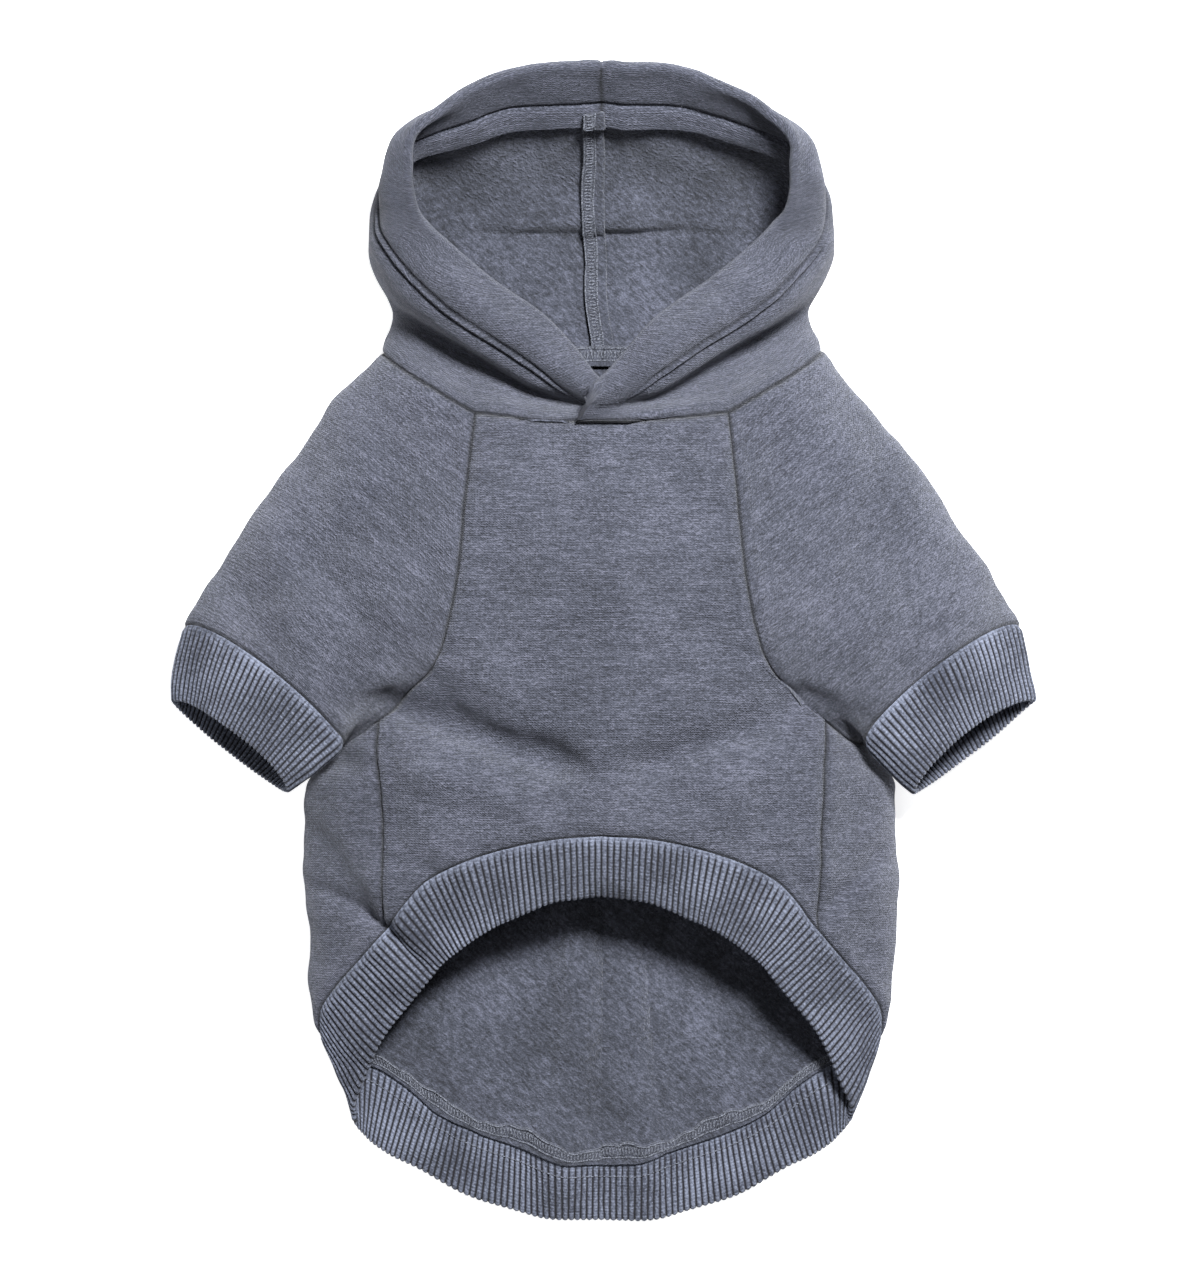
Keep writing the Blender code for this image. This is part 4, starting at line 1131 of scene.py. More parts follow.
def apply_tree(piece: bpy.types.Object, tree: bpy.types.NodeTree, values: dict) -> bpy.types.Object:
    """Run a Geometry Nodes tree on a piece and keep the result as its plain mesh.

    Args:
        piece: The object.
        tree: The tree.
        values: Value of each named input.

    Returns:
        The same object.
    """
    modifier = piece.modifiers.new(tree.name, "NODES")
    modifier.node_group = tree
    for item in tree.interface.items_tree:
        if item.item_type == "SOCKET" and item.in_out == "INPUT" and item.name in values:
            modifier[item.identifier] = values[item.name]
    bpy.context.view_layer.update()
    graph = bpy.context.evaluated_depsgraph_get()
    mesh = bpy.data.meshes.new_from_object(piece.evaluated_get(graph))
    piece.modifiers.remove(modifier)
    old = piece.data
    piece.data = mesh
    mesh.name = piece.name
    bpy.data.meshes.remove(old)
    return piece


def rib_tree() -> bpy.types.NodeTree:
    """Tree that carves furrows between knitted ribs along a piece's rib_phase."""
    tree, given = start_tree("rib_knit", [
        NodeInput("Rib depth", "NodeSocketFloat", 0.0007),
        NodeInput("Crown power", "NodeSocketFloat", 0.5),
        NodeInput("Material", "NodeSocketMaterial", None),
    ])
    phase = add(tree, "GeometryNodeInputNamedAttribute", {"data_type": "FLOAT", "Name": "rib_phase"}).outputs[0]
    amount = add(tree, "GeometryNodeInputNamedAttribute", {"data_type": "FLOAT", "Name": "rib_amount"}).outputs[0]
    spread = add(tree, "GeometryNodeInputNamedAttribute",
                 {"data_type": "FLOAT_VECTOR", "Name": "rib_spread"}).outputs[0]
    turn = add(tree, "ShaderNodeMath", {"operation": "MULTIPLY", 1: 2 * math.pi}, in_0=phase)
    wave = add(tree, "ShaderNodeMath", {"operation": "COSINE"}, in_0=turn.outputs[0])
    level = add(tree, "ShaderNodeMath", {"operation": "MULTIPLY_ADD", 1: 0.4999, 2: 0.5}, in_0=wave.outputs[0])
    crown = add(tree, "ShaderNodeMath", {"operation": "POWER"}, in_0=level.outputs[0],
                in_1=given.outputs["Crown power"])
    below = add(tree, "ShaderNodeMath", {"operation": "SUBTRACT", 1: 1.0}, in_0=crown.outputs[0])
    carved = add(tree, "ShaderNodeMath", {"operation": "MULTIPLY"}, in_0=below.outputs[0], in_1=amount)
    deep = add(tree, "ShaderNodeMath", {"operation": "MULTIPLY"}, in_0=carved.outputs[0],
               in_1=given.outputs["Rib depth"])
    move = add(tree, "ShaderNodeVectorMath", {"operation": "SCALE"}, in_0=spread, in_Scale=deep.outputs[0])
    placed = add(tree, "GeometryNodeSetPosition", None, in_Geometry=given.outputs["Geometry"],
                 in_Offset=move.outputs[0])
    height = add(tree, "ShaderNodeMath", {"operation": "ADD", 1: 1.0}, in_0=carved.outputs[0])
    stored = add(tree, "GeometryNodeStoreNamedAttribute",
                 {"data_type": "FLOAT", "domain": "POINT", "Name": "rib_height"},
                 in_Geometry=placed.outputs[0], in_Value=height.outputs[0])
    end_tree(tree, stored.outputs[0], given.outputs["Material"])
    return tree


def stitch_tree() -> bpy.types.NodeTree:
    """Tree that lays thread stitches along a path, each along the path's lay."""
    tree, given = start_tree("thread_stitches", [
        NodeInput("Pitch", "NodeSocketFloat", 0.002),
        NodeInput("Stitch length", "NodeSocketFloat", 0.0018),
        NodeInput("Thread width", "NodeSocketFloat", 0.0005),
        NodeInput("Size spread", "NodeSocketFloat", 0.12),
        NodeInput("Seed", "NodeSocketInt", 7),
        NodeInput("Material", "NodeSocketMaterial", None),
    ])
    line = add(tree, "GeometryNodeMeshToCurve", None, in_Mesh=given.outputs["Geometry"])
    evened = add(tree, "GeometryNodeResampleCurve", {"mode": "LENGTH"}, in_Curve=line.outputs[0],
                 in_Length=given.outputs["Pitch"])
    lay = add(tree, "GeometryNodeInputNamedAttribute", {"data_type": "FLOAT_VECTOR", "Name": "lay"}).outputs[0]
    turned = add(tree, "FunctionNodeAlignRotationToVector", {"axis": "X"}, in_Vector=lay)
    bead = add(tree, "GeometryNodeMeshUVSphere", {"Segments": 7, "Rings": 5, "Radius": 0.5})
    size = add(tree, "ShaderNodeCombineXYZ", None, in_0=given.outputs["Stitch length"],
               in_1=given.outputs["Thread width"], in_2=given.outputs["Thread width"])
    shaped = add(tree, "GeometryNodeTransform", None, in_Geometry=bead.outputs[0], in_Scale=size.outputs[0])
    low = add(tree, "ShaderNodeMath", {"operation": "SUBTRACT", 0: 1.0}, in_1=given.outputs["Size spread"])
    high = add(tree, "ShaderNodeMath", {"operation": "ADD", 0: 1.0}, in_1=given.outputs["Size spread"])
    chance = add(tree, "FunctionNodeRandomValue", {"data_type": "FLOAT"}, in_2=low.outputs[0],
                 in_3=high.outputs[0], in_Seed=given.outputs["Seed"])
    laid = add(tree, "GeometryNodeInstanceOnPoints", None, in_Points=evened.outputs[0],
               in_Instance=shaped.outputs[0], in_Rotation=turned.outputs[0], in_Scale=chance.outputs[1])
    end_tree(tree, laid.outputs[0], given.outputs["Material"])
    return tree


@dataclass(frozen=True)
class StitchKind:
    """Sizes of one kind of stitch in millimetres."""

    pitch: float
    length: float
    width: float
    seed: int = 7


class Sewing:
    """Lays stitches along paths with one Geometry Nodes tree."""

    def __init__(self) -> None:
        """Make the tree."""
        self.tree = stitch_tree()

    def sew(self, name: str, runs: list, kind: StitchKind, material: bpy.types.Material) -> bpy.types.Object:
        """Sew stitches along several paths into one piece.

        Args:
            name: The piece's name.
            runs: (points, lay) pairs in millimetres, with lay None for along the path.
            kind: The stitch sizes.
            material: The thread.

        Returns:
            The piece.
        """
        points, lays, edges, shift = [], [], [], 0
        for line, lay in runs:
            line = np.asarray(line)
            if lay is None:
                lay = np.gradient(line, axis=0)
            points.append(line)
            lays.append(lay / (np.linalg.norm(lay, axis=1, keepdims=True) + 1e-9))
            edges += [(shift + k, shift + k + 1) for k in range(len(line) - 1)]
            shift += len(line)
        mesh = bpy.data.meshes.new(name)
        mesh.from_pydata((np.concatenate(points) * METRES).tolist(), edges, [])
        layer = mesh.attributes.new("lay", "FLOAT_VECTOR", "POINT")
        layer.data.foreach_set("vector", np.concatenate(lays).ravel())
        piece = bpy.data.objects.new(name, mesh)
        bpy.context.scene.collection.objects.link(piece)
        apply_tree(piece, self.tree, {
            "Pitch": kind.pitch * METRES, "Stitch length": kind.length * METRES,
            "Thread width": kind.width * METRES, "Seed": kind.seed, "Material": material,
        })
        piece.data.shade_smooth()
        return piece


def dress(piece: bpy.types.Object, slot: str, *nodes: str) -> bpy.types.Object:
    """Ride a piece on the one body and hide the model's parts that it stands for."""
    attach(piece, "root")
    if nodes:
        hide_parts(*nodes)
    LOG.info("%s: %d faces", piece.name, len(piece.data.polygons))
    return piece


def declare(cloth: Cloth, piece: bpy.types.Object) -> None:
    """Log a piece's cut size and area."""
    flat, area = cloth.cut_size()
    area = min(area, flat[0] * flat[1])
    LOG.info("%s cut %.0f x %.0f mm, %.4f square metres", piece.name, flat[0] / METRES, flat[1] / METRES, area)


def interpolated(key: np.ndarray, keys: np.ndarray, values: np.ndarray, period: float) -> np.ndarray:
    """Values, one row for each key, read at new keys on a closed ring."""
    order = np.argsort(keys)
    return np.stack([np.interp(key, keys[order], values[order, axis], period=period)
                     for axis in range(values.shape[1])], axis=1)


class Seams:
    """Every seam line that neighbouring pieces share, sampled once."""

    def __init__(self, body: BodyForm) -> None:
        """Sample the seams."""
        self.body = body
        self.front_shares = crowded(S.neck_front, 0.75, 0.75)
        self.top = body.neck_front(self.front_shares)
        self.raglan, self.raglan_rings = body.raglan(crowded(S.raglan, 0.6, 0.0))
        self.raglan[0] = self.top[0]
        self.side_shares = crowded(S.side_seam, 0.3, 0.75)
        self.side = body.side_seam(self.raglan[-1], self.side_shares)
        armhole = body.armhole(crowded(S.armhole, 0.5, 0.5))
        self.armhole_turns, self.armhole_ys, self.armhole_rings = armhole.T
        self.nape_shares = crowded(S.neck_back // 2, 0.3, 0.7)[1:]
        self.sleeve_shares = crowded(S.neck_sleeve, 0.3, 0.3)

    def back_turns(self) -> tuple[np.ndarray, np.ndarray]:
        """Turns of the back panel's columns at its top and at the hem, left half."""
        last = self.armhole_turns[-1]
        top = np.concatenate([self.armhole_turns, last + (180 - last) * self.nape_shares])
        foot = self.body.foot_turn
        return top, foot + (top - top[0]) / (180 - top[0]) * (180 - foot)

    def front_turns(self) -> np.ndarray:
        """Turns of the front panel's columns at the hem."""
        return self.body.foot_turn * (2 * self.front_shares - 1)


@dataclass
class BodyPanels:
    """Front panel and back panel."""

    seams: Seams
    side_fade: float = 42.0
    drapes: dict = field(default_factory=dict)

    def front(self) -> Cloth:
        """Front panel as a patch between its seams, laid on the body."""
        seams, body = self.seams, self.seams.body
        left = np.concatenate([seams.raglan, seams.side[1:]])
        right = mirrored(left)
        turns = seams.front_turns()
        bottom = body.point(turns, body.hem_y(turns))
        way = np.concatenate([[0.0], np.cumsum(np.linalg.norm(np.diff(left, axis=0), axis=1))])
        v = (way / way[-1])[None, :, None]
        u = seams.front_shares[:, None, None]
        top = seams.top[:, None]
        low = bottom[:, None]
        flat = ((1 - v) * top + v * low + (1 - u) * left[None] + u * right[None]
                - (1 - u) * (1 - v) * top[0] - u * (1 - v) * top[-1]
                - (1 - u) * v * low[0] - u * v * low[-1])
        grid = body.top(flat[..., 0], flat[..., 1])
        grid[:, 0], grid[:, -1] = seams.top, bottom
        grid[0], grid[-1] = left, right
        return Cloth("front_panel_cloth", grid, self.heart(), tuple(Edge), plan=grid[..., :2].copy())

    def back(self) -> Cloth:
        """Back panel from the left side seam round below to the right one."""
        seams, body = self.seams, self.seams.body
        top_turns, low_turns = seams.back_turns()
        ys = np.concatenate([seams.armhole_ys, np.full(len(seams.nape_shares), P.neck_y)])
        v = seams.side_shares[None]
        low_ys = body.hem_y(low_turns)
        y = ys[:, None] + (low_ys - ys)[:, None] * v
        turn = top_turns[:, None] + (low_turns - top_turns)[:, None] * v
        side_turn = np.abs(body.turn_at(seams.side[:, 0], seams.side[:, 1]))
        fade = 1 - smooth_step((top_turns - top_turns[0]) / self.side_fade)
        turn = turn + (side_turn - turn[0])[None] * fade[:, None]
        half = body.point(-turn, y)
        half[0] = seams.side
        grid = np.concatenate([half, mirrored(half[-2::-1])])
        middle = len(half) - 1
        across = np.linalg.norm(np.diff(grid, axis=0), axis=2).mean(axis=1)
        along = np.concatenate([[0.0], np.cumsum(across)])
        plan = np.stack([np.broadcast_to((along - along[middle])[:, None], grid.shape[:2]), grid[..., 1]], axis=-1)
        return Cloth("back_panel_cloth", grid, self.heart(), tuple(Edge), plan=plan)

    def heart(self) -> tuple:
        """Point inside the body."""
        return 0.0, P.neck_y - P.back_length / 2, P.body_loft / 2


@dataclass
class Sleeve:
    """Raglan sleeve from its armhole and neckline to the cuff seam."""

    seams: Seams
    cuff: CuffForm
    bulge: float = 0.08
    tuck: float = 0.08

    def base(self, back: Cloth) -> tuple[np.ndarray, np.ndarray, np.ndarray, np.ndarray]:
        """Armhole and neckline ring, its cuff turns, and the neckline alone."""
        seams = self.seams
        armhole = back.grid[:len(seams.armhole_turns), 0]
        neckline, rings = seams.body.neck_sleeve(seams.raglan[0], armhole[-1], seams.sleeve_shares)
        neckline[0], neckline[-1] = seams.raglan[0], armhole[-1]
        ring = np.concatenate([seams.raglan[::-1], neckline[1:], armhole[-2:0:-1]])
        turns = np.concatenate([seams.raglan_rings[::-1], rings[1:], seams.armhole_rings[-2:0:-1]])
        return ring, turns, neckline

    def cloth(self, side: str, base: np.ndarray, turns: np.ndarray) -> Cloth:
        """One sleeve.

        Args:
            side: Left or right, as the viewer sees it.
            base: Armhole and neckline ring of the left sleeve.
            turns: Turn on the cuff's ring for each of its points.

        Returns:
            The cloth.
        """
        ring = self.cuff.ring(turns, 0.0)
        v = crowded(S.sleeve, 0.75, 0.75)[None, :, None]
        point = base[:, None] * (1 - v) + ring[:, None] * v
        centre = base.mean(axis=0) * (1 - v) + ring.mean(axis=0) * v
        away = ((1 - np.cos(np.radians(turns))) / 2)[:, None, None]
        swell = self.bulge * away - self.tuck * (1 - away) ** 2
        grid = point + (point - centre) * swell * 4 * v * (1 - v)
        grid[..., 2] = np.maximum(grid[..., 2], P.half_wall)
        across = np.linalg.norm(np.roll(grid, -1, axis=0) - grid, axis=2).mean(axis=1)
        along = np.linalg.norm(np.diff(grid, axis=1), axis=2).mean(axis=0)
        u = np.concatenate([[0.0], np.cumsum(across)])
        w = np.concatenate([[0.0], np.cumsum(along)])
        plan = np.stack(np.meshgrid(u, -w, indexing="ij"), axis=-1)
        if side == "right":
            grid = mirrored(grid)
        return Cloth(f"sleeve_{side}_cloth", grid, grid.mean(axis=(0, 1)), (Edge.LOW, Edge.HIGH),
                     closed=True, plan=plan)


@dataclass
class Hood:
    """Two hood halves with a folded and topstitched rim that cross at the throat."""

    seams: Seams
    form: HoodForm = field(default_factory=HoodForm)
    facing_brow: float = 31.0
    facing_side: float = 24.0
    single_at_throat: float = 9.0
    stitch_rows: tuple = (20.0, 23.6)
    facing_stitch: float = 20.5
    groove: float = 1.15
    heart_forward: float = 0.60
    crossing: float = 4 * P.fleece_wall + 3 * P.seam_gap

    def ring(self, neckline: np.ndarray, back: Cloth) -> tuple[np.ndarray, np.ndarray]:
        """Neck seam of the left half from past the middle at the throat to the nape."""
        seams = self.seams
        start = S.neck_front // 2 + S.throat_overlap
        throat = seams.top[start::-1]
        shares = seams.front_shares[start::-1]
        first = HOOD_STATIONS[0] * (shares[0] - shares) / shares[0]
        second = HOOD_STATIONS[0] + (HOOD_STATIONS[1] - HOOD_STATIONS[0]) * seams.sleeve_shares[1:]
        third = HOOD_STATIONS[1] + (HOOD_STATIONS[2] - HOOD_STATIONS[1]) * seams.nape_shares
        count = len(seams.armhole_turns)
        nape = back.grid[count:count + len(seams.nape_shares), 0]
        return np.concatenate([throat, neckline[1:], nape]), np.concatenate([first, second, third])

    def cloth(self, side: str, ring: np.ndarray, stations: np.ndarray) -> Cloth:
        """One hood half.

        Args:
            side: Left or right, as the viewer sees it.
            ring: The left half's neck seam.
            stations: Its stations along the hood's lines.

        Returns:
            The cloth, with the distances to its rim kept in rim_way.
        """
        lines = self.form.columns(ring, stations)
        lengths = np.linalg.norm(np.diff(lines, axis=1), axis=2).sum(axis=1)
        brow = smooth_step((stations - 5.5) / 2.0)
        wish = self.facing_side + (self.facing_brow - self.facing_side) * brow
        facing = np.minimum(wish, np.maximum(lengths - self.single_at_throat, 2.0))
        cloth_rows = crowded(S.hood_cloth, 0.7, 0.75)
        facing_rows = crowded(S.hood_facing, 0.75, 0.3)[1:]
        split = ((lengths - facing) / lengths)[:, None]
        shares = np.concatenate([split * cloth_rows, split + (1 - split) * facing_rows], axis=1)
        grid = resample_rows(lines, shares)
        grid[-1, :, 0] = 0.0
        way = shares * lengths[:, None]
        if side == "right":
            grid = mirrored(grid)
            self.lift(grid, shares)
        u = np.linalg.norm(np.diff(grid, axis=0), axis=2).mean(axis=1)
        u = np.concatenate([[0.0], np.cumsum(u)])
        plan = np.stack([np.broadcast_to(u[:, None], way.shape), way], axis=-1)
        heart = (0.0, P.neck_y + P.hood_length * self.heart_forward, P.hood_rise / 2)
        cloth = Cloth(f"hood_{side}_cloth", grid, heart, (Edge.LOW, Edge.END), turned=True, plan=plan)
        cloth.rim_way = lengths[:, None] - way
        cloth.facing = facing
        return cloth

    def lift(self, grid: np.ndarray, shares: np.ndarray) -> None:
        """Raise the upper half's front end, which crosses over the lower one."""
        step = np.arange(len(grid)) / S.throat_overlap
        along = np.where(step < 2, 1 - 0.1 * step, 0.8 * (1 - smooth_step((step - 2) / 5)))[:, None]
        seamed = smooth_step(step - 2)[:, None]
        low = 0.5 * ((1 - seamed) + seamed * smooth_step(shares * 13))
        grid[..., 2] += self.crossing * along * (low + 0.5 * smooth_step(2.5 * shares))

    def press(self, cloth: Cloth) -> None:
        """Double the cloth along the rim and press the stitch rows into it."""
        way, facing = cloth.rim_way, cloth.facing[:, None]
        scale = np.minimum(facing / self.facing_side, 1.0)
        doubled = way <= facing + 0.05
        loose = np.clip((way / scale - self.facing_stitch) / 8.0, 0.0, 1.0)
        faded = smooth_step((np.arange(len(way)) - S.throat_overlap - 2) / 22)[:, None]
        cloth.inner = cloth.inner + np.where(doubled, P.fleece_wall + 2.0 * loose, 0.0)
        cloth.inner -= np.where(doubled, 1.5 * hump(way / scale - self.facing_stitch, 0.8), 0.0)
        cloth.inner -= np.where(doubled, 0.5 * hump(way / scale - self.facing_stitch, 2.4), 0.0)
        for row in self.stitch_rows:
            # Painted shade: the face is darkened along each stitch row, as if in the shadow of its groove.
            cloth.painted_stitch_shade = np.maximum(cloth.painted_stitch_shade, 0.8 * faded * hump(way / scale - row, 0.9))
            cloth.outer -= faded * self.groove * hump(way / scale - row, 0.8)
            cloth.outer -= faded * 0.55 * hump(way / scale - row, 2.0)
        cloth.outer += 0.9 * hump(way / scale - 10.0, 7.0)
        cloth.outer += faded * 0.9 * hump(way / scale - 22.1, 1.2)
        cloth.outer += faded * 0.9 * hump(way / scale - 29.5, 4.0)
        cloth.outer = np.maximum(cloth.outer, 0.12)
        cloth.inner = np.maximum(cloth.inner, 0.6)
        cloth.facing_from = S.hood_cloth

    def rows(self, cloth: Cloth, distance: float, inside: bool = False) -> np.ndarray:
        """Line on the cloth's face at a distance from the rim."""
        scale = np.minimum(cloth.facing / self.facing_side, 1.0)
        found = []
        for column in range(len(cloth.grid)):
            ways = cloth.rim_way[column, ::-1]
            target = distance * scale[column]
            offset = -cloth.inner[column] if inside else cloth.outer[column]
            face = cloth.grid[column] + cloth.normals[column] * offset[:, None]
            found.append([np.interp(target, ways, face[::-1, axis]) for axis in range(3)])
        return np.array(found)


@dataclass
class RibBand:
    """Doubled band of rib knit on a seam line, with real furrows between its ribs."""

    name: str
    pitch: float
    rows: int = 13
    points_per_rib: int = 8
    depth: float = 0.85
    swell: float = 0.55
    seam_sink: float = 1.15

    def rib_turns(self, line: np.ndarray, keys: np.ndarray) -> tuple[np.ndarray, int]:
        """Keys at even steps along a finely sampled closed line.

        Args:
            line: Points of the line, with the first repeated at the end.
            keys: Key of each point, rising.

        Returns:
            Keys of the band's columns and the number of ribs.
        """
        way = np.concatenate([[0.0], np.cumsum(np.linalg.norm(np.diff(line, axis=0), axis=1))])
        ribs = round(way[-1] / self.pitch)
        steps = np.arange(ribs * self.points_per_rib) / (ribs * self.points_per_rib)
        return np.interp(steps * way[-1], way, keys), ribs

    def finish(self, grid: np.ndarray, heart: tuple, seam: np.ndarray, seam_normals: np.ndarray,
               drape: Drape) -> Cloth:
        """Fit the band to its neighbour's seam line and give it walls.

        Args:
            grid: Plain middle surface.
            heart: A point that the band goes round.
            seam: The neighbour's seam line at the band's columns.
            seam_normals: Its normals there.
            drape: Unevenness of the cloth.

        Returns:
            The cloth.
        """
        v = np.linspace(0.0, 1.0, grid.shape[1])
        cloth = Cloth(self.name, grid, heart, (Edge.LOW,), wall=P.rib_wall, closed=True, turned=True)
        normals = cloth.point_normals()
        normals /= np.linalg.norm(normals, axis=2, keepdims=True) + 1e-12
        grid = grid + normals * (drape.height(grid, normals) * v ** 0.5)[..., None]
        grid = grid + (seam - grid[:, 0])[:, None] * ((1 - v) ** 2)[None, :, None]
        grid[..., 2] = np.maximum(grid[..., 2], P.half_wall)
        cloth.grid = grid
        normals = cloth.point_normals()
        normals /= np.linalg.norm(normals, axis=2, keepdims=True) + 1e-12
        blend = hump(v, 0.16)[None, :, None]
        normals = normals * (1 - blend) + seam_normals[:, None] * blend
        cloth.normals = normals / np.linalg.norm(normals, axis=2, keepdims=True)
        along = np.linalg.norm(np.diff(grid, axis=1), axis=2).mean(axis=0)
        way = np.concatenate([[0.0], np.cumsum(along)])
        full = self.swell * np.sin(math.pi * np.clip(v * 0.92, 0, 1))
        cloth.outer = cloth.outer - self.seam_sink * hump(way, 1.1)[None] + full[None]
        cloth.inner = cloth.inner + 0.3 * full[None]
        cloth.outer = np.maximum(cloth.outer, 0.1)
        u = np.concatenate([[0.0], np.cumsum(np.linalg.norm(np.roll(grid[:, 6], -1, axis=0) - grid[:, 6], axis=1))])
        cloth.plan = np.stack(np.meshgrid(u, way, indexing="ij"), axis=-1)
        return cloth

    def build(self, cloth: Cloth, tree: bpy.types.NodeTree, material: bpy.types.Material) -> bpy.types.Object:
        """Make the mesh and knit its ribs."""
        piece = cloth.build({Spot.FACE: material, Spot.BACK: material})
        data = cloth.loops()
        count, around = data["points"].shape[:2]
        phase = np.repeat(np.arange(count) / self.points_per_rib, around)
        rows = data["rows"]
        amount = np.ones((count, around))
        amount[:, :2] = (0.1, 0.75)
        amount[:, -2:] = (0.75, 0.1)
        mesh = piece.data
        for name, kind, values in (("rib_phase", "FLOAT", phase), ("rib_amount", "FLOAT", amount.ravel())):
            mesh.attributes.new(name, kind, "POINT").data.foreach_set("value", values)
        spread = mesh.attributes.new("rib_spread", "FLOAT_VECTOR", "POINT")
        spread.data.foreach_set("vector", data["spread"].ravel())
        LOG.info("%s: %d ribs, %d rows", self.name, count // self.points_per_rib, rows)
        apply_tree(piece, tree, {"Rib depth": self.depth * METRES, "Crown power": 0.42, "Material": material})
        piece.data.shade_smooth()
        return piece


@dataclass
class Strip:
    """Overlocked seam allowance that lies on the inner face of a cloth."""

    name: str
    middle: np.ndarray
    normals: np.ndarray
    thickness: float = 1.6

    def cloth(self) -> Cloth:
        """Thin cloth around the strip's middle surface."""
        cloth = Cloth(self.name, self.middle, (0.0, 0.0, -1000.0), (), wall=self.thickness)
        cloth.outer = np.full(self.middle.shape[:2], self.thickness / 2)
        cloth.inner = np.full(self.middle.shape[:2], self.thickness / 2)
        cloth.turned = True
        cloth.normals = self.normals
        u = np.linalg.norm(np.diff(self.middle, axis=0), axis=2).mean(axis=1)
        u = np.concatenate([[0.0], np.cumsum(u)])
        way = np.linalg.norm(np.diff(self.middle, axis=1), axis=2).mean(axis=0)
        way = np.concatenate([[0.0], np.cumsum(way)])
        cloth.plan = np.stack(np.meshgrid(u, way, indexing="ij"), axis=-1)
        return cloth

    def line(self, share: float, lift: float) -> np.ndarray:
        """Line along the strip's upper face at a share of its width."""
        place = share * (self.middle.shape[1] - 1)
        index = min(int(place), self.middle.shape[1] - 2)
        part = place - index
        points = self.middle[:, index] * (1 - part) + self.middle[:, index + 1] * part
        return points + self.normals[:, index] * (self.thickness / 2 + lift)

    def legs(self, low: float, high: float, lean: float) -> tuple[np.ndarray, np.ndarray]:
        """Path for thread legs between two shares of the width, and their lay."""
        first, last = self.line(low, 0.1), self.line(high, 0.1)
        across = last - first
        along = np.gradient(first, axis=0)
        along /= np.linalg.norm(along, axis=1, keepdims=True) + 1e-9
        return (first + last) / 2, across + along * np.linalg.norm(across, axis=1, keepdims=True) * lean


@dataclass
class Studio:
    """Pale board, soft lights and a camera that looks straight down."""

    height: float = 5.0
    frame_height: float = 0.541
    subject_height: float = 0.030
    key_watts: float = 122.0
    top_watts: float = 10.0
    sky: float = 0.07

    def build(self) -> None:
        """Make the floor, the lights, the world and the camera."""
        size = 6.0
        steps = np.linspace(-size, size, 9)
        points = [(x, y, 0.0) for y in steps for x in steps]
        faces = [(r * 9 + c, r * 9 + c + 1, (r + 1) * 9 + c + 1, (r + 1) * 9 + c) for r in range(8) for c in range(8)]
        mesh = bpy.data.meshes.new("board")
        mesh.from_pydata(points, [], faces)
        mesh.materials.append(GlowingBoard().build())
        floor = bpy.data.objects.new("board", mesh)
        bpy.context.scene.collection.objects.link(floor)
        self.lamp("key", (0.45, 0.90, 1.70), 0.42, self.key_watts)
        self.lamp("top", (-0.70, -0.50, 2.1), 1.3, self.top_watts)
        world = bpy.data.worlds.new("soft room")
        bpy.context.scene.world = world
        world.use_nodes = True
        background = world.node_tree.nodes["Background"]
        background.inputs["Color"].default_value = (1.0, 1.0, 1.0, 1.0)
        background.inputs["Strength"].default_value = self.sky
        camera = bpy.data.cameras.new("camera")
        camera.sensor_width = 36.0
        camera.lens = 36.0 * (self.height - self.subject_height) / self.frame_height
        camera.clip_end = 50.0
        eye = bpy.data.objects.new("camera", camera)
        eye.location = (-0.0006, -0.0006, self.height)
        bpy.context.scene.collection.objects.link(eye)
        bpy.context.scene.camera = eye
        bpy.context.scene.view_settings.view_transform = "Standard"

    def lamp(self, name: str, place: tuple, size: float, watts: float) -> None:
        """Add a square soft light that points at the garment."""
        light = bpy.data.lights.new(name, "AREA")
        light.size = size
        light.energy = watts
        holder = bpy.data.objects.new(name, light)
        holder.location = place
        away = math.hypot(place[0], place[1])
        holder.rotation_euler = (math.atan2(away, place[2]), 0.0, math.atan2(place[1], place[0]) + math.pi / 2)
        bpy.context.scene.collection.objects.link(holder)


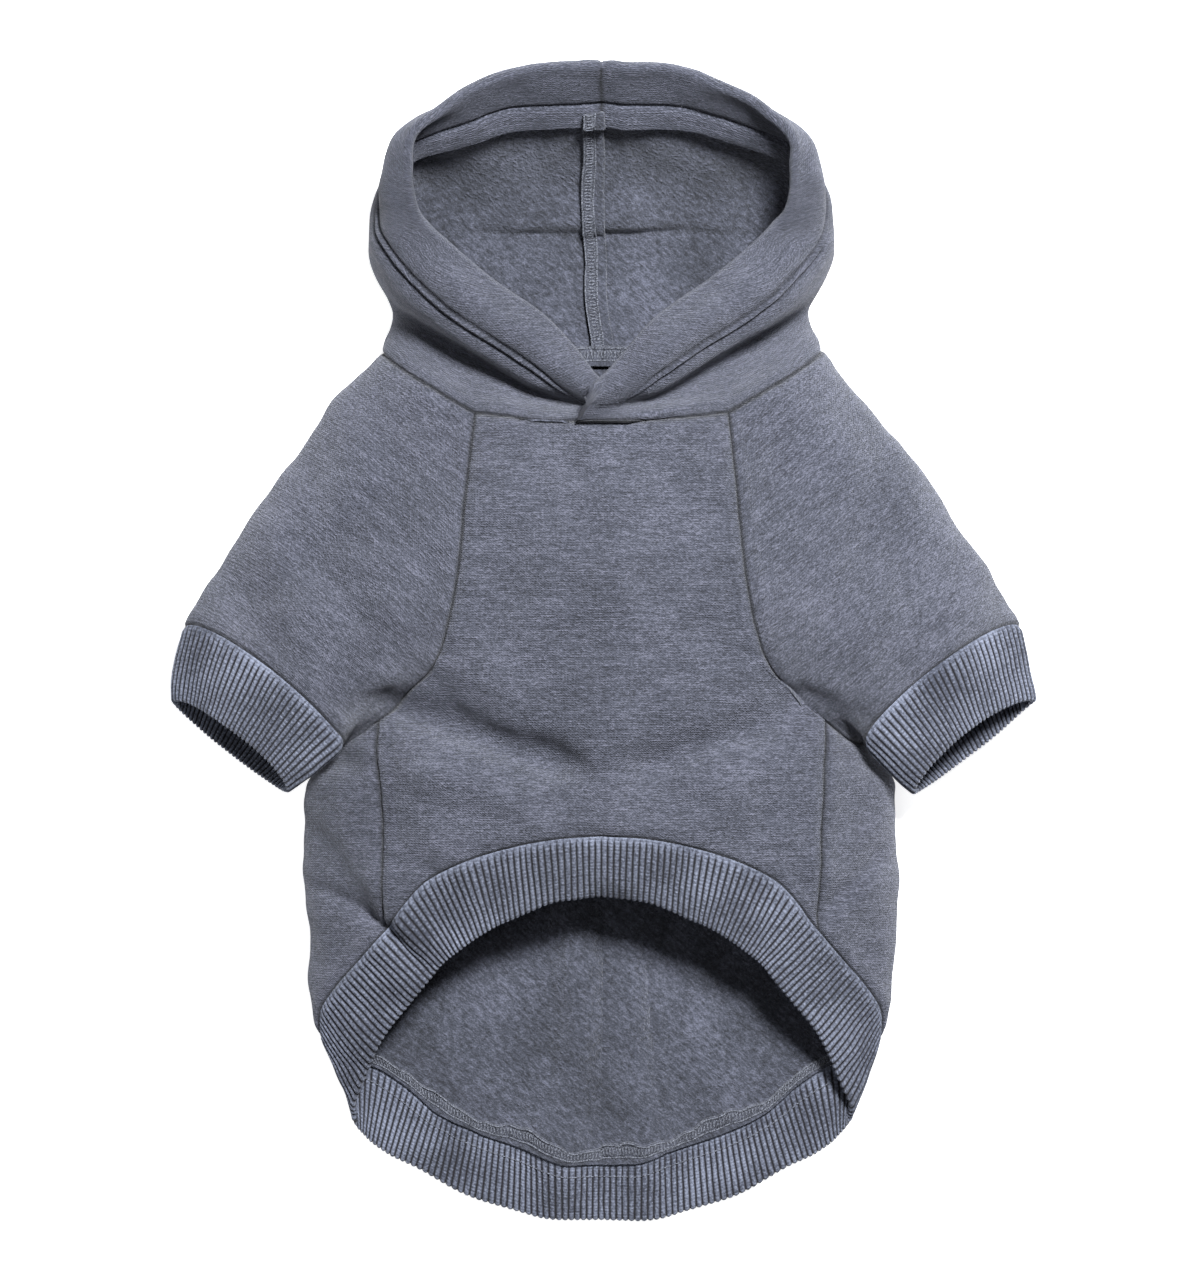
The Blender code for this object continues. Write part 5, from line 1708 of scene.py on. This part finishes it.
@dataclass
class Garment:
    """The whole hoodie: lays out its pieces, drapes them and dresses them."""

    drape: Drape = field(default_factory=Drape)
    cuff: CuffForm = field(default_factory=CuffForm)
    hem_pitch: float = 2.6
    cuff_pitch: float = 2.5

    def __post_init__(self) -> None:
        """Lay out the main pieces of cloth."""
        self.body = BodyForm()
        self.seams = Seams(self.body)
        panels = BodyPanels(self.seams)
        self.front, self.back = panels.front(), panels.back()
        sleeve = Sleeve(self.seams, self.cuff)
        base, self.ring_turns, neckline = sleeve.base(self.back)
        self.hood = Hood(self.seams)
        ring, stations = self.hood.ring(neckline, self.back)
        self.sleeves = {side: sleeve.cloth(side, base, self.ring_turns) for side in ("left", "right")}
        self.hoods = {side: self.hood.cloth(side, ring, stations) for side in ("left", "right")}
        self.main = [self.front, self.back, *self.sleeves.values(), *self.hoods.values()]
        share_normals(self.main)
        for cloth in self.main:
            height = self.drape.height(cloth.grid, cloth.normals)
            if "hood" in cloth.name:
                height = height * 0.6
            cloth.grid = cloth.grid + cloth.normals * height[..., None]
            cloth.grid[..., 2] = np.maximum(cloth.grid[..., 2], P.half_wall)
        share_normals(self.main)
        for cloth in self.main:
            cloth.roll_seams(self.drape)
        for cloth in self.hoods.values():
            self.hood.press(cloth)

    def materials(self) -> None:
        """Make every finish once."""
        self.jersey = JerseyFace("melange jersey face").build()
        self.jersey_hood = JerseyFace("melange jersey face hood", 0.0, True).build()
        self.jersey_sleeve = {
            "left": JerseyFace("melange jersey face left sleeve", -40.0).build(),
            "right": JerseyFace("melange jersey face right sleeve", 40.0).build(),
        }
        self.fleece = FleeceBack().build()
        self.rib = RibKnit().build()
        self.overlock = Thread("overlock thread", "#1b1d24", "#6c707b").build()
        self.topstitch = Thread("topstitch thread", "#1f2129", "#3b3e49").build()

    def make_main(self) -> None:
        """Build body, sleeves and hood."""
        self.pieces = {}
        faces = {"front_panel": self.jersey, "back_panel": self.jersey}
        for side in ("left", "right"):
            faces[f"sleeve_{side}"] = self.jersey_sleeve[side]
            faces[f"hood_{side}"] = self.jersey_hood
        for cloth in self.main:
            node = cloth.name.removesuffix("_cloth")
            piece = cloth.build({Spot.FACE: faces[node], Spot.BACK: self.fleece})
            self.pieces[node] = dress(piece, "fleece_jersey", node)

    def make_bands(self) -> None:
        """Build the hem band and the two cuffs."""
        self.cuffs = {}
        tree = rib_tree()
        band = RibBand("hem_band_cloth", self.hem_pitch)
        edges = Table(HEM_EDGE)
        fine = np.linspace(-180.0, 180.0, 6001)
        seam = self.body.point(fine, self.body.hem_y(fine))
        found = edges.at(np.abs(fine))
        side = np.where(fine < 0, -1.0, 1.0)
        edge = np.stack([side * found[:, 0] * P.body_half_width,
                         self.body.hem_y(fine) - found[:, 1] * P.rib_band_width,
                         np.maximum(found[:, 2] * P.body_loft, P.half_wall)], axis=1)
        turns, _ = band.rib_turns((seam + edge) / 2, fine)
        v = np.linspace(0.0, 1.0, band.rows + 1)[None, :, None]
        low = np.stack([np.interp(turns, fine, edge[:, axis]) for axis in range(3)], axis=1)
        high = np.stack([np.interp(turns, fine, seam[:, axis]) for axis in range(3)], axis=1)
        back_turns = self.seams.back_turns()[1]
        keys = np.concatenate([self.seams.front_turns(), -back_turns, back_turns[-2::-1]])
        line = np.concatenate([self.front.grid[:, -1], self.back.grid[:, -1]])
        normals = np.concatenate([self.front.normals[:, -1], self.back.normals[:, -1]])
        high = interpolated(turns, keys, line, 360.0)
        grid = high[:, None] * (1 - v) + low[:, None] * v
        heart = (0.0, P.neck_y - 0.85 * P.back_length, 12.0)
        self.hem = band.finish(grid, heart, high, interpolated(turns, keys, normals, 360.0), self.drape)
        piece = band.build(self.hem, tree, self.rib)
        self.pieces["hem_band"] = dress(piece, "rib_knit", "hem_band")
        for side in ("left", "right"):
            band = RibBand(f"cuff_{side}_cloth", self.cuff_pitch)
            fine = np.linspace(0.0, 360.0, 2001)
            turns, _ = band.rib_turns(self.cuff.ring(fine, 0.4), fine)
            past = np.linspace(0.0, 1.0, band.rows + 1)
            grid = self.cuff.ring(turns[:, None], past[None])
            if side == "right":
                grid = mirrored(grid)
            cloth = self.sleeves[side]
            seam = interpolated(turns, np.mod(self.ring_turns, 360.0), cloth.grid[:, -1], 360.0)
            normals = interpolated(turns, np.mod(self.ring_turns, 360.0), cloth.normals[:, -1], 360.0)
            cuff = band.finish(grid, grid.mean(axis=(0, 1)), seam, normals, self.drape)
            self.cuffs[side] = cuff
            piece = band.build(cuff, tree, self.rib)
            self.pieces[f"cuff_{side}"] = dress(piece, "rib_knit", f"cuff_{side}")

    def centre_strip(self) -> Strip:
        """Seam allowance down the middle of the hood, wandering across it a little."""
        hood = self.hoods["left"]
        rows = np.flatnonzero((hood.rim_way[-1] > 21.5) & (hood.rim_way[-1] < hood.rim_way[-1, 0] - 4.0))
        rows = rows[::2]
        share = np.linspace(0.0, 1.0, len(rows))
        wander = 3.2 * smooth_step((0.42 - share) / 0.42) + 0.7 * np.sin(share * 23) * (1 - share)
        points, normals = [], []
        for row, shift in zip(rows, wander):
            line = hood.grid[::-1, row]
            across = -line[:, 0]
            order = np.argsort(across[:60])
            points.append([])
            normals.append([])
            for place in np.linspace(-P.allowance_width + shift, 0.6 + shift, 9):
                reach = abs(place)
                point = np.array([np.interp(reach, across[order], line[order, axis]) for axis in range(3)])
                normal = np.array([np.interp(reach, across[order], hood.normals[::-1, row][order, axis])
                                   for axis in range(3)])
                inner = float(hood.inner[-1, row])
                point[0], normal[0] = place, normal[0] * (1 if place < 0 else -1)
                normal /= np.linalg.norm(normal)
                edge = (place - shift) / -P.allowance_width
                curl = 0.9 * edge ** 2 * (0.6 + 0.4 * math.sin(row * 0.9))
                points[-1].append(point - normal * (inner + 1.1 + curl))
                normals[-1].append(-normal)
        return Strip("hood_seam_strip", np.array(points)[::-1], np.array(normals)[::-1])

    def neck_strip(self) -> Strip:
        """Seam allowance across the back of the neck, seen through the throat."""
        points, normals = [], []
        for side in ("left", "right"):
            hood = self.hoods[side]
            part, faces = [], []
            for column in range(len(hood.grid) - 46, len(hood.grid)):
                way = np.linalg.norm(np.diff(hood.grid[column], axis=0), axis=1)
                way = np.concatenate([[0.0], np.cumsum(way)])
                places = np.linspace(-0.4, P.allowance_width, 8)
                normal = np.stack([np.interp(places, way, hood.normals[column, :, axis]) for axis in range(3)], 1)
                point = np.stack([np.interp(places, way, hood.grid[column, :, axis]) for axis in range(3)], 1)
                ruffle = 0.5 * math.sin(column * 0.7) * (places / P.allowance_width)[:, None]
                part.append(point - normal * (P.half_wall + 2.4 + ruffle))
                faces.append(-normal)
            if side == "right":
                part, faces = part[-2::-1], faces[-2::-1]
            points += part
            normals += faces
        return Strip("neck_seam_strip", np.array(points), np.array(normals))

    def hem_strip(self) -> Strip:
        """Seam allowance inside the back hem, gathered by the rib's pull."""
        back = self.back
        points, normals = [], []
        first = 58
        for column in range(first, len(back.grid) - first):
            line, face = back.grid[column, ::-1], back.normals[column, ::-1]
            way = np.concatenate([[0.0], np.cumsum(np.linalg.norm(np.diff(line, axis=0), axis=1))])
            x = line[0, 0]
            end = smooth_step((abs(x) - 60) / 34)
            wave = 1.9 * math.cos((x - 9.0) * 2 * math.pi / 41.0) * (1 - end) + 0.5 * math.sin(x * 0.61)
            width = P.hem_allowance_width + 1.8 + wave
            places = np.linspace(-0.2, width, 8)
            normal = np.stack([np.interp(places, way, face[:, axis]) for axis in range(3)], 1)
            point = np.stack([np.interp(places, way, line[:, axis]) for axis in range(3)], 1)
            ruffle = (0.7 + 0.7 * math.sin(x * 0.42 + math.sin(x * 0.11))) * (places / width)[:, None] ** 2
            points.append(point - normal * (P.half_wall + 1.15 + ruffle))
            normals.append(-normal)
        return Strip("hem_seam_strip", np.array(points), np.array(normals))

    def make_allowances(self) -> None:
        """Build the overlocked seam allowances and their thread."""
        sewing = Sewing()
        self.thread, self.strips = {}, {}
        strips = {"hood_seam_allowance": self.centre_strip(), "neck_seam_allowance": self.neck_strip(),
                  "hem_seam_allowance": self.hem_strip()}
        legs = StitchKind(1.45, 4.6, 0.5, 11)
        beads = StitchKind(1.0, 1.5, 0.85, 5)
        for node, strip in strips.items():
            cloth = strip.cloth()
            piece = cloth.build({Spot.FACE: self.fleece, Spot.BACK: self.fleece})
            self.pieces[node] = dress(piece, "overlock_seam", node)
            low, high = (0.35, 0.97)
            if node == "hood_seam_allowance":
                low, high = (0.03, 0.6)
            forward, back = strip.legs(low, high, 0.26), strip.legs(low, high, -0.26)
            rail = low if node == "hood_seam_allowance" else high
            inner_rail = high if rail == low else low
            parts = [
                sewing.sew(f"{node}_legs", [forward, (back[0] + forward[0] * 0, back[1])], legs, self.overlock),
                sewing.sew(f"{node}_edge", [(strip.line(rail, 0.12), None), (strip.line(inner_rail, 0.0), None)],
                           beads, self.overlock),
            ]
            for part in parts:
                dress(part, "overlock_seam")
            self.thread[node] = parts
            self.strips[node] = cloth
        stitch = StitchKind(2.3, 1.9, 0.55, 3)
        for side, cloth in self.hoods.items():
            rows = [(self.hood.rows(cloth, distance)[6:-1], None) for distance in self.hood.stitch_rows]
            rows.append((self.hood.rows(cloth, self.hood.facing_stitch, True)[6:-1], None))
            part = dress(sewing.sew(f"hood_{side}_topstitch", rows, stitch, self.topstitch), "fleece_jersey")
            self.thread[f"hood_{side}"] = [part]
        chain = self.hem.grid[:, 3] - self.hem.normals[:, 3] * (self.hem.inner[:, 3] - 0.15)[:, None]
        inside = chain[np.abs(chain[:, 1] - chain[:, 1].min()) < 70.0]
        inside = inside[inside[:, 2] < 14.0]
        inside = inside[np.argsort(np.arctan2(inside[:, 0], -inside[:, 1] - 60))]
        part = sewing.sew("hem_chain_stitch", [(inside, None)], StitchKind(1.9, 2.1, 0.55, 9), self.overlock)
        self.thread["hem_band"] = [dress(part, "rib_knit")]

    def declare_sheets(self) -> None:
        """Gather each strip and its thread under the cloth it is sewn to, and log every cloth's cut size."""
        clothes = {cloth.name.removesuffix("_cloth"): cloth for cloth in self.main}
        clothes["hem_band"] = self.hem
        clothes.update({f"cuff_{side}": cuff for side, cuff in self.cuffs.items()})
        for node, parent in STRIP_PARENTS.items():
            self.thread.setdefault(parent, [])
            self.thread[parent] += [self.pieces[node], *self.thread[node]]
        rests = {node: ["back_panel"] for node in ("front_panel", "hem_band", "hood_left", "hood_right",
                                                   "sleeve_left", "sleeve_right")}
        rests.update({f"cuff_{side}": [f"sleeve_{side}"] for side in self.cuffs})
        for node, cloth in clothes.items():
            declare(cloth, self.pieces[node])


def main() -> None:
    """Build the hoodie, then the studio."""
    logging.basicConfig(level=logging.INFO, format="%(name)s %(message)s")
    garment = Garment()
    garment.materials()
    garment.make_main()
    garment.make_bands()
    garment.make_allowances()
    garment.declare_sheets()
    Studio().build()


if __name__ == "__main__":
    main()
